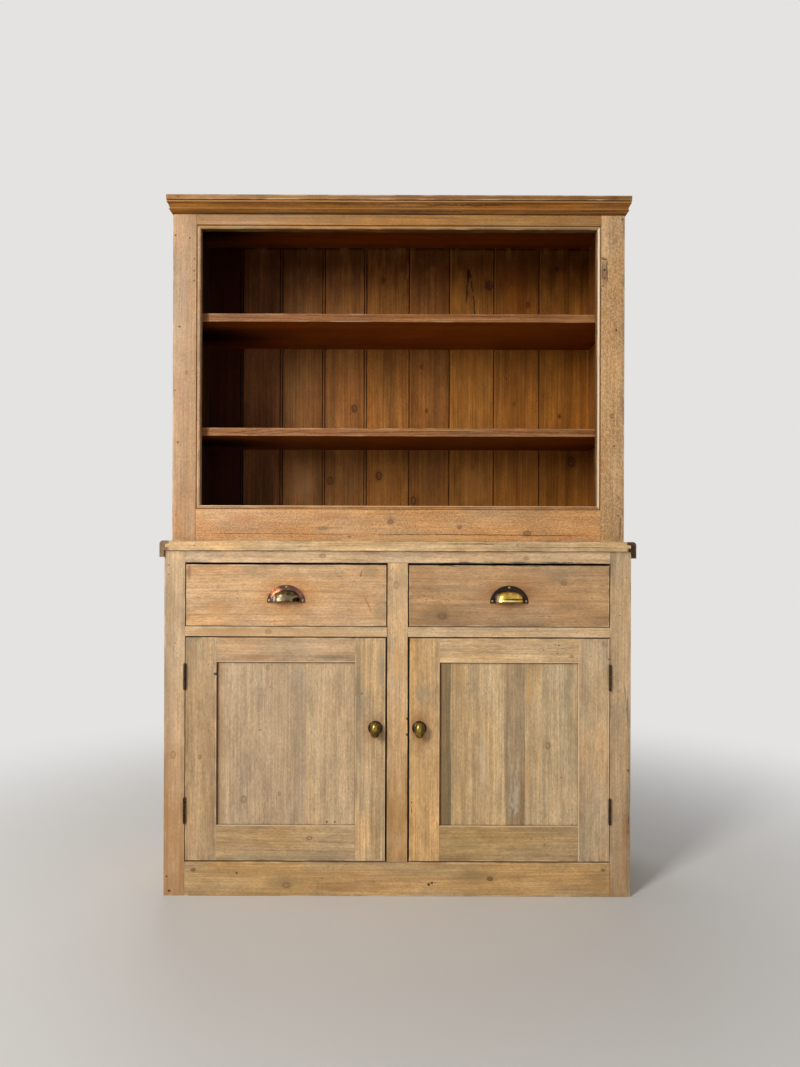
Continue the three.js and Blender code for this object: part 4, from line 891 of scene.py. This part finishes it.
board("upper_back_boards", "z", 96, stain, arris=0.0, inset=head_inset, contrast=0.65, ring_width=0.0048,
      late=(0.62, 0.46, 0.30), greyness=0.15, grey=(112, 76, 36), blush=0.4, streaks=0.2,
      strips=list(zip(back_joints, back_tints_and_shade)), bare=unstained, rough=0.5, gleam=0.1,
      # Painted shade darkening the boards towards the top, under the top rail, and a black line under the
      # ceiling.
      shades=[(2, 1.80, 0.22, (58, 15, 2), 0.64), (2, 1.845, 0.010, joint_and_shade_black, 0.9)] + joint_shades,
      knots=[(0.2807, 1.7300, 0.012, 0.9), (0.4000, 1.6703, 0.007, 0.85), (-0.0491, 1.7443, 0.006, 0.85),
             (0.4908, 1.7814, 0.005, 0.8), (-0.2548, 1.7596, 0.005, 0.5),
             (-0.1381, 1.3452, 0.009, 0.8), (-0.2118, 1.121, 0.010, 0.7), (-0.0614, 1.1364, 0.010, 0.85),
             (0.0706, 1.4772, 0.005, 0.75), (0.086, 1.339, 0.005, 0.75), (0.3592, 1.3605, 0.004, 0.75),
             (0.5004, 1.3237, 0.005, 0.95), (0.5373, 1.1824, 0.012, 0.9), (0.2302, 1.164, 0.005, 0.75),
             (0.046, 1.0596, 0.010, 0.65)],
      marks=[((0.2139, 1.784), (0.2100, 1.668), 0.0032, resin_brown, 0.95),
             ((0.2139, 1.784), (0.2225, 1.750), 0.0036, resin_brown, 0.95),
             ((0.2225, 1.752), (0.2313, 1.704), 0.0028, resin_brown, 0.95),
             ((0.2313, 1.706), (0.2362, 1.625), 0.0026, resin_brown, 0.95),
             ((0.2180, 1.735), (0.2190, 1.640), 0.0010, resin_brown, 0.6),
             ((0.2260, 1.700), (0.2280, 1.625), 0.0010, resin_brown, 0.6),
             # A pale line at a joint: partly a chipped edge, partly a painted glint.
             ((0.0274, 1.810), (0.0274, 1.745), 0.0020, (206, 156, 106), 0.9)],
      halos=[(0.2150, 1.760, 0.008, 0.024, resin_brown, 0.8),
             (0.2750, 1.727, 0.016, 0.011, resin_brown, 0.5),
             # Painted light on the seventh board's top and painted shade on the eighth's; the last two lift
             # the lower bay where the lamp reaches under the lower shelf.
             (0.1850, 1.700, 0.030, 0.100, (204, 136, 54), 0.6),
             (0.3620, 1.720, 0.070, 0.130, (142, 68, 8), 0.35),
             (-0.300, 1.116, 0.055, 0.090, (190, 136, 88), 0.4),
             (0.2280, 1.116, 0.055, 0.090, (196, 134, 66), 0.4)])

# Cornice and top board. A moulding with a splay, a lip, a shallow cove and a fillet is mitred round
# the front corners under a thin board. Its grain is streaked with dark where old varnish is left, and
# bands of painted highlight and shade run along its profile.
varnish_and_shade_dark = (62, 30, 12)
board("cornice", "x", 101, (131, 84, 18), contrast=0.8, ring_width=0.005, smooth=True, arris=0.0,
      late=(0.5, 0.36, 0.24), streaks=0.3, wear=0.3, blush=0.5, greyness=0.1, gleam=0.2,
      marks=[((0.05, 1.8335), (0.30, 1.8335), 0.0022, varnish_and_shade_dark, 0.7),
             ((-0.20, 1.834), (0.02, 1.834), 0.0016, varnish_and_shade_dark, 0.6),
             ((-0.45, 1.832), (-0.25, 1.832), 0.0018, (110, 48, 16), 0.7),
             ((-0.03, 1.818), (0.20, 1.818), 0.0018, varnish_and_shade_dark, 0.6),
             ((0.48, 1.819), (0.60, 1.819), 0.0016, varnish_and_shade_dark, 0.7)],
      # Painted highlights on the fillet and the lip, and painted shade at the top of the cove and under the
      # splay.
      shades=[(2, 1.8410, 0.0030, (196, 144, 90), 0.6), (2, 1.8370, 0.0030, varnish_and_shade_dark, 0.55),
              (2, 1.8240, 0.0036, (182, 128, 70), 0.6), (2, 1.8110, 0.0042, (48, 22, 8), 0.85)])
ceiling_low = Vector((-0.592, -0.0995, 1.8))
board("top_board", "x", 102, (151, 105, 51), contrast=0.7, ring_width=0.004, heart=(-0.03, -0.1),
      wander=0.02, streaks=0.2, strips=top_strips, strip_axis=1, greyness=0.1, gleam=0.25,
      knots=[(0.578, 1.852, 0.0045, 0.7), (-0.594, 1.852, 0.003, 0.5)], patches=[painted_corner_shade(1.845)],
      stains=[(ceiling_low, within_high, (224, 164, 12), 1.0)])

# Hinges. Small butt hinges of rolled iron, one leaf let into the stile and one into the door, held
# by slotted iron screws. They have rusted brown and black where the wax never reached.
tarnish_blend = 0.16


def metal(name, bright, dull, seed, rough=0.3, mottle=90.0, dulled=0.5, zones=()):
    """Cast or sheet metal with cloudy tarnish, fine scratches and a slightly uneven skin. A zone
    is (centre, half sizes, tone, strength) and fades at its edge. Besides tarnish, zones paint
    highlights, dark reflections and shade onto the knobs and pulls."""
    material, tree = new_material(name)
    where = put(tree, "TexCoord").outputs["Object"]
    chance = random.Random(seed)
    seeded = vector_of(tree, "ADD", where, [chance.uniform(-5, 5) for _ in range(3)])
    cloud = noise(tree, seeded, (mottle, mottle, mottle), detail=4.0)
    scratch = noise(tree, seeded, (2600, 900, 500), detail=2.0)
    tarnish = eased(tree, cloud, dulled - tarnish_blend, dulled + tarnish_blend)
    shade = mixed(tree, tarnish, colour(bright), colour(dull))
    for centre, half, tone, strength in zones:
        reach = spot(tree, where, centre, half, 0.12)
        shade = mixed(tree, eased(tree, reach, 0.75, 1.1, strength, 0.0), shade, colour(tone))
    gloss = sum_of(tree, "MULTIPLY_ADD", scratch, 0.14, rough - 0.07)
    gloss = sum_of(tree, "MULTIPLY_ADD", tarnish, 0.2, gloss)
    skin = sum_of(tree, "MULTIPLY_ADD", scratch, 0.25, cloud)
    bumps = put(tree, "Bump", {"Strength": 0.4, "Distance": 0.0002, "Height": skin})
    sockets = {"Base Color": shade, "Metallic": 1.0, "Roughness": gloss, "Normal": bumps.outputs[0]}
    surface(tree, put(tree, "BsdfPrincipled", sockets).outputs[0])
    return material


def fixing_tree():
    """One screw or nail head at each point, turned at random about its own shaft."""
    tree = bpy.data.node_groups.new("fixings", "GeometryNodeTree")
    kinds = {"Geometry": "Geometry", "Head Radius": "Float", "Head Height": "Float",
             "Slot Width": "Float", "Slotted": "Bool", "Seed": "Int", "Metal": "Material"}
    for name, kind in kinds.items():
        tree.interface.new_socket(name, in_out="INPUT", socket_type="NodeSocket" + kind)
    tree.interface.new_socket("Geometry", in_out="OUTPUT", socket_type="NodeSocketGeometry")
    given = put(tree, "NodeGroupInput").outputs
    radius, height = given["Head Radius"], given["Head Height"]
    unit = {"Segments": 20, "Rings": 10, "Radius": 1.0}
    ball = put(tree, "GeometryNodeMeshUVSphere", unit).outputs["Mesh"]
    head_size = put(tree, "CombineXYZ", {0: radius, 1: radius, 2: height}).outputs[0]
    head = put(tree, "GeometryNodeTransform", {"Geometry": ball, "Scale": head_size}).outputs[0]
    slot_size = put(tree, "CombineXYZ", {0: times(tree, radius, 3.0), 1: given["Slot Width"], 2: height})
    bar = put(tree, "GeometryNodeMeshCube", {"Size": slot_size.outputs[0]}).outputs["Mesh"]
    lift = put(tree, "CombineXYZ", {2: height}).outputs[0]
    bar = put(tree, "GeometryNodeTransform", {"Geometry": bar, "Translation": lift}).outputs[0]
    cut = put(tree, "GeometryNodeMeshBoolean", {"Mesh 1": head, "Mesh 2": bar}, operation="DIFFERENCE")
    choice = {"Switch": given["Slotted"], "False": head, "True": cut.outputs["Mesh"]}
    chosen = put(tree, "GeometryNodeSwitch", choice, input_type="GEOMETRY").outputs[0]
    facing = put(tree, "GeometryNodeInputNamedAttribute", {"Name": "facing"}, data_type="FLOAT_VECTOR")
    upright = put(tree, "FunctionNodeAlignRotationToVector", {"Vector": facing.outputs[0]}, axis="Z")
    turn = put(tree, "FunctionNodeRandomValue", {"Seed": given["Seed"], 3: 2 * math.pi}, data_type="FLOAT")
    spin = put(tree, "FunctionNodeAxisAngleToRotation", {"Axis": (0, 0, 1), "Angle": turn.outputs[1]})
    turned = {0: upright.outputs[0], 1: spin.outputs[0]}
    turned = put(tree, "FunctionNodeRotateRotation", turned, rotation_space="LOCAL").outputs[0]
    laid = {"Points": given["Geometry"], "Instance": chosen, "Rotation": turned}
    heads = put(tree, "GeometryNodeInstanceOnPoints", laid).outputs[0]
    real = put(tree, "GeometryNodeRealizeInstances", {0: heads}).outputs[0]
    done = put(tree, "GeometryNodeSetMaterial", {"Geometry": real, "Material": given["Metal"]}).outputs[0]
    put(tree, "NodeGroupOutput", {"Geometry": done})
    return tree


fixings = fixing_tree()


def worked(holder, sharp=38):
    """The mesh that an object's modifiers make of it, as a plain mesh. The object goes."""
    bpy.context.view_layer.update()
    seen_now = bpy.context.evaluated_depsgraph_get()
    mesh = bpy.data.meshes.new_from_object(holder.evaluated_get(seen_now))
    bpy.data.objects.remove(holder)
    return smoothed(mesh, sharp)


def drive(name, places, body, slot, **sizes):
    """Drives a fixing in at each place, given as (point, direction that its head faces)."""
    points = bpy.data.meshes.new(name)
    points.from_pydata([point for point, _ in places], [], [])
    facing = points.attributes.new("facing", "FLOAT_VECTOR", "POINT")
    facing.data.foreach_set("vector", [share for _, way in places for share in way])
    holder = shown(name + "_points", points)
    maker = holder.modifiers.new("fixings", "NODES")
    maker.node_group = fixings
    for socket in fixings.interface.items_tree:
        if socket.in_out == "INPUT" and socket.name in sizes:
            maker[socket.identifier] = sizes[socket.name]
    piece = shown(name, worked(holder))
    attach(piece, body)


rusty = metal("hinge_rust", (96, 70, 54), (48, 34, 28), seed=5, rough=0.55, mottle=400.0)
screw_sunk = 0.0002
leaf_screw = {"Head Radius": 0.0030, "Head Height": screw_sunk + 0.00008, "Slot Width": 0.0007,
              "Slotted": True, "Metal": rusty}
screw_spots = [(0.0060, 0.0215), (0.0115, 0.0), (0.0060, -0.0215)]
for hand, side in (("left", -1), ("right", 1)):
    for level in ("lower", "upper"):
        for leaf, facing in (("frame_leaf", -side), ("door_leaf", side)):
            node = f"hinge_{hand}_{level}_{leaf}"
            iron = metal(node + "_iron", (88, 70, 60), (40, 30, 26), seed=len(node), rough=0.5, mottle=260.0)
            fitted(node, node + "_metal", planed(node, 0.0, smooth=True), iron)
            low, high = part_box(node)
            plate = [v.co.x for v in frame["nodes"][node].data.vertices if v.co.y > high.y - 1e-4]
            face = max(plate) if facing > 0 else min(plate)
            face -= facing * screw_sunk
            middle = (low.z + high.z) / 2
            heads = [((face, high.y - inward, middle + rise), (facing, 0, 0)) for inward, rise in screw_spots]
            drive(node + "_screws", heads, body_of[node], node, Seed=len(node), **leaf_screw)

# Knobs. Each is a brass oval on a short neck and a round collar, cast in one. Its spindle goes
# through the door to a tongue that turns behind the muntin. The collar has browned almost black.
knob_half = (0.0130, 0.012, 0.0203)
knob_reach = 0.0239
knob_drop = 0.0012
collar_radius = 0.019
collar_lift = 0.0002
spindle_radius = 0.0040
knob_sides = 48
oval_rings = 32
oval_fullness = 0.82
leans = [math.pi * ring / oval_rings for ring in range(oval_rings + 1)]
oval_profile = [(math.sin(lean) ** oval_fullness, math.cos(lean)) for lean in leans]
knob_profile = [(0.0, knob_reach - 0.0005), (0.0056, knob_reach - 0.0005), (0.0052, 0.012),
                (0.0062, 0.0062), (0.0090, 0.0044), (0.0140, 0.0036), (0.0152, 0.0028),
                (0.0160, 0.0029), (0.0168, 0.0036), (0.0180, 0.0034), (0.0188, 0.0024),
                (collar_radius, 0.0012), (0.0188, collar_lift), (spindle_radius, collar_lift),
                (spindle_radius, -0.0255), (0.0058, -0.0257), (0.0058, -0.0277), (0.0050, -0.0283),
                (0.0, -0.0283)]
olive_brass = (158, 132, 66)
for hand, side in (("left", -1), ("right", 1)):
    node = f"knob_{hand}"
    at = Vector((side * knob_x, front, knob_z))
    stem = shown(node + "_stem", revolved(node, knob_profile, knob_sides))
    stem.data.transform(Matrix.Translation(at) @ Matrix.Rotation(math.pi / 2, 4, "X"))
    oval = shown(node + "_oval", revolved(node, oval_profile, knob_sides))
    middle = at + Vector((0, -knob_reach, -knob_drop))
    oval.data.transform(Matrix.Translation(middle) @ Matrix.Diagonal((*knob_half, 1.0)))
    union = stem.modifiers.new("joined", "BOOLEAN")
    union.operation = "UNION"
    union.object = oval
    mesh = worked(stem, 42)
    bpy.data.objects.remove(oval)
    collar_zone = (at, (0.06, 0.0062, 0.06), (62, 52, 47), 0.97)
    # Painted shade on the right and lower side of the oval, away from the lamp.
    painted_shade_zone = (at + Vector((0.0105, -0.026, -0.006)), (0.0085, 0.02, 0.022), (74, 62, 22), 0.7)
    brass = metal(node + "_brass", olive_brass, (104, 84, 34), seed=len(node), rough=0.2, mottle=70.0,
                  zones=[painted_shade_zone, collar_zone])
    fitted(node, node + "_metal", mesh, brass)
    node = f"latch_{hand}"
    iron = metal(node + "_iron", (88, 76, 66), (52, 40, 34), seed=31, rough=0.5)
    fitted(node, node + "_metal", planed(node, 0.0004, least=0.004, smooth=True), iron)

# Cup pulls. Each is a thin brass casting: a half-round flange screwed to the drawer at its crown
# and both feet, and a hood that swells out of it to an arched lip. The left one has gone to a
# coppery brown, the right one is still rubbed bright.
flange_half = 0.050
flange_foot = 0.003
flange_crown = 0.0435
flange_thick = 0.0019
hood_half = 0.0370
hood_crown = 0.0295
hood_reach = 0.0222
hood_wall = 0.0017
lip_rise = 0.0022
lip_swell = 0.0010
boxiness = 0.78
hood_steps = 14
round_steps = 44


def squared(share, power):
    """A sine or cosine pushed outwards, which makes a rounder or a boxier arch."""
    return math.copysign(abs(share) ** power, share)


def cup_pull(name, foot):
    """A closed shell, swept from one foot of the flange over its crown to the other."""
    lowest = math.acos((lip_rise / hood_crown) ** (1 / boxiness))
    within = 1.0 - hood_wall / hood_crown
    shape = bmesh.new()

    def section(turn, drop):
        """The points round the casting's wall at one turn of the sweep."""
        cos, sin = math.cos(turn), math.sin(turn)
        level = 0.0 if drop else flange_foot
        points = []

        def flat(half, crown, out, shaped=1.0):
            points.append((half * squared(cos, shaped), -out, level + crown * squared(sin, shaped)))

        def domed(share, lean, grow=0.0):
            half, crown, reach = (size * share + grow for size in (hood_half, hood_crown, hood_reach))
            out = squared(sin, boxiness) * squared(math.sin(lean), boxiness)
            rise = squared(sin, boxiness) * squared(math.cos(lean), boxiness)
            points.append((half * squared(cos, boxiness), -flange_thick - reach * out, level + crown * rise))

        for inward, out in ((0.0, 0.0), (0.0, 0.55), (0.0003, 0.85), (0.0010, 1.0), (0.0020, 0.92)):
            flat(flange_half - inward, flange_crown - inward, flange_thick * out)
        flat(hood_half + 0.0018, hood_crown + 0.0018, flange_thick * 0.92, boxiness)
        flat(hood_half + 0.0006, hood_crown + 0.0006, flange_thick * 1.15, boxiness)
        for step in range(hood_steps + 1):
            share = step / hood_steps
            swell = lip_swell * max(0.0, (share - 0.84) / 0.16) ** 2
            domed(1.0, lowest * (0.02 + 0.98 * share), swell)
        domed(1.0, lowest + 0.016, 0.0002)
        domed(within, lowest + 0.010, 0.0002)
        for step in range(hood_steps, -1, -2):
            domed(within, lowest * step / hood_steps)
        flat(hood_half - hood_wall, hood_crown - hood_wall, 0.0, boxiness)
        return points

    turns = [(0.0, True)] + [(math.pi * k / round_steps, False) for k in range(round_steps + 1)]
    turns.append((math.pi, True))
    rows = [[shape.verts.new(Vector(point) + foot) for point in section(*turn)] for turn in turns]
    skinned(shape, rows)
    shape.faces.new(rows[0])
    shape.faces.new(list(reversed(rows[-1])))
    bmesh.ops.remove_doubles(shape, verts=shape.verts, dist=2e-5)
    bmesh.ops.dissolve_degenerate(shape, edges=shape.edges, dist=1e-6)
    bmesh.ops.recalc_face_normals(shape, faces=shape.faces)
    return smoothed(meshed(name, shape), 50)


# Each zone on a pull is (offset from the middle of its foot line, half sizes, tone, strength).
pull_looks = {
    "left": {"bright": (126, 112, 76), "dull": (62, 52, 40), "screw": (190, 166, 96), "zones": [
        ((0.0, 0.0, 0.0), (0.2, 0.0032, 0.2), (104, 76, 68), 1.0),
        ((-0.024, 0.0, 0.019), (0.021, 0.0036, 0.021), (222, 134, 98), 0.95),
        ((0.034, 0.0, 0.022), (0.012, 0.0036, 0.012), (150, 92, 74), 0.7),
        # Near-black: painted shade at the right end of the hood.
        ((0.027, -0.015, 0.005), (0.012, 0.013, 0.008), (10, 9, 8), 0.95),
        ((-0.010, -0.020, 0.008), (0.014, 0.016, 0.006), (120, 104, 92), 0.6),
        # White: a painted highlight at the left end of the hood.
        ((-0.0290, -0.012, 0.008), (0.0050, 0.010, 0.012), (226, 228, 232), 0.8)]},
    "right": {"bright": (214, 178, 88), "dull": (158, 128, 58), "screw": (150, 134, 92), "zones": [
        ((0.0, 0.0, 0.0), (0.2, 0.0032, 0.2), (50, 41, 36), 1.0),
        # The dark band and the near-black spot are painted reflection and shade, the pale yellow and the
        # white ones painted highlights.
        ((0.010, -0.020, 0.0082), (0.028, 0.016, 0.0022), (44, 30, 16), 0.9),
        ((0.036, -0.006, 0.004), (0.005, 0.010, 0.009), (12, 9, 8), 0.95),
        ((-0.010, -0.022, 0.0045), (0.030, 0.016, 0.0024), (236, 206, 128), 0.8),
        ((-0.0325, -0.010, 0.010), (0.0050, 0.008, 0.012), (196, 196, 202), 0.85)]},
}
pull_foot = 0.7663
pull_holes = [(0.0, 0.0415), (-0.0442, 0.0058), (0.0442, 0.0058)]
screw_seat = flange_thick * 0.9
pull_screw = {"Head Radius": 0.0030, "Head Height": 0.0008, "Slot Width": 0.0008, "Slotted": True}
for hand, side in (("left", -1), ("right", 1)):
    node = f"drawer_{hand}_pull"
    looks = pull_looks[hand]
    foot = Vector((side * pull_x, front, pull_foot))
    middle = foot + Vector((0, 0, flange_foot))
    zones = [(middle + Vector(offset), *zone) for offset, *zone in looks["zones"]]
    bronze = metal(node + "_brass", looks["bright"], looks["dull"], seed=7 + side, rough=0.2, mottle=90.0,
                   zones=zones)
    fitted(node, node + "_metal", cup_pull(node, foot), bronze)
    screw = metal(node + "_screw_brass", looks["screw"], looks["dull"], seed=9 + side, mottle=200.0)
    heads = [(foot + Vector((across, -screw_seat, up)), (0, -1, 0)) for across, up in pull_holes]
    drive(node + "_screws", heads, body_of[node], node, Seed=3 + side, Metal=screw, **pull_screw)

# Nails. Rows of cut nails, two to a board, hold the back boards to the shelves, floors and rails.
nail_iron = metal("nail_iron", (84, 70, 60), (44, 32, 26), seed=77, rough=0.6, mottle=500.0)
back_nail = {"Head Radius": 0.0026, "Head Height": 0.0004, "Metal": nail_iron, "Seed": 5}
back_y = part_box("upper_back_boards")[1].y - head_inset


def rows_of_nails(node, joints, levels, inward=0.024):
    """Two nails through each board at each level, near its edges."""
    low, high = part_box(node)
    width = high.x - low.x
    ends = joints + [1.0]
    places = []
    for start, end in zip(ends, ends[1:]):
        for level in levels:
            for x_at in (low.x + start * width + inward, low.x + end * width - inward):
                places.append(((x_at, back_y, level), (0, 1, 0)))
    return places


nail_levels = {"upper": (back_joints, (0.946, 1.228, 1.541, 1.826)),
               "base": (board_ends, (0.08, 0.694, 0.886))}
for part, rows in nail_levels.items():
    drive(part + "_back_nails", rows_of_nails(part + "_back_boards", *rows), "carcass",
          "hinge_left_lower_frame_leaf", **back_nail)
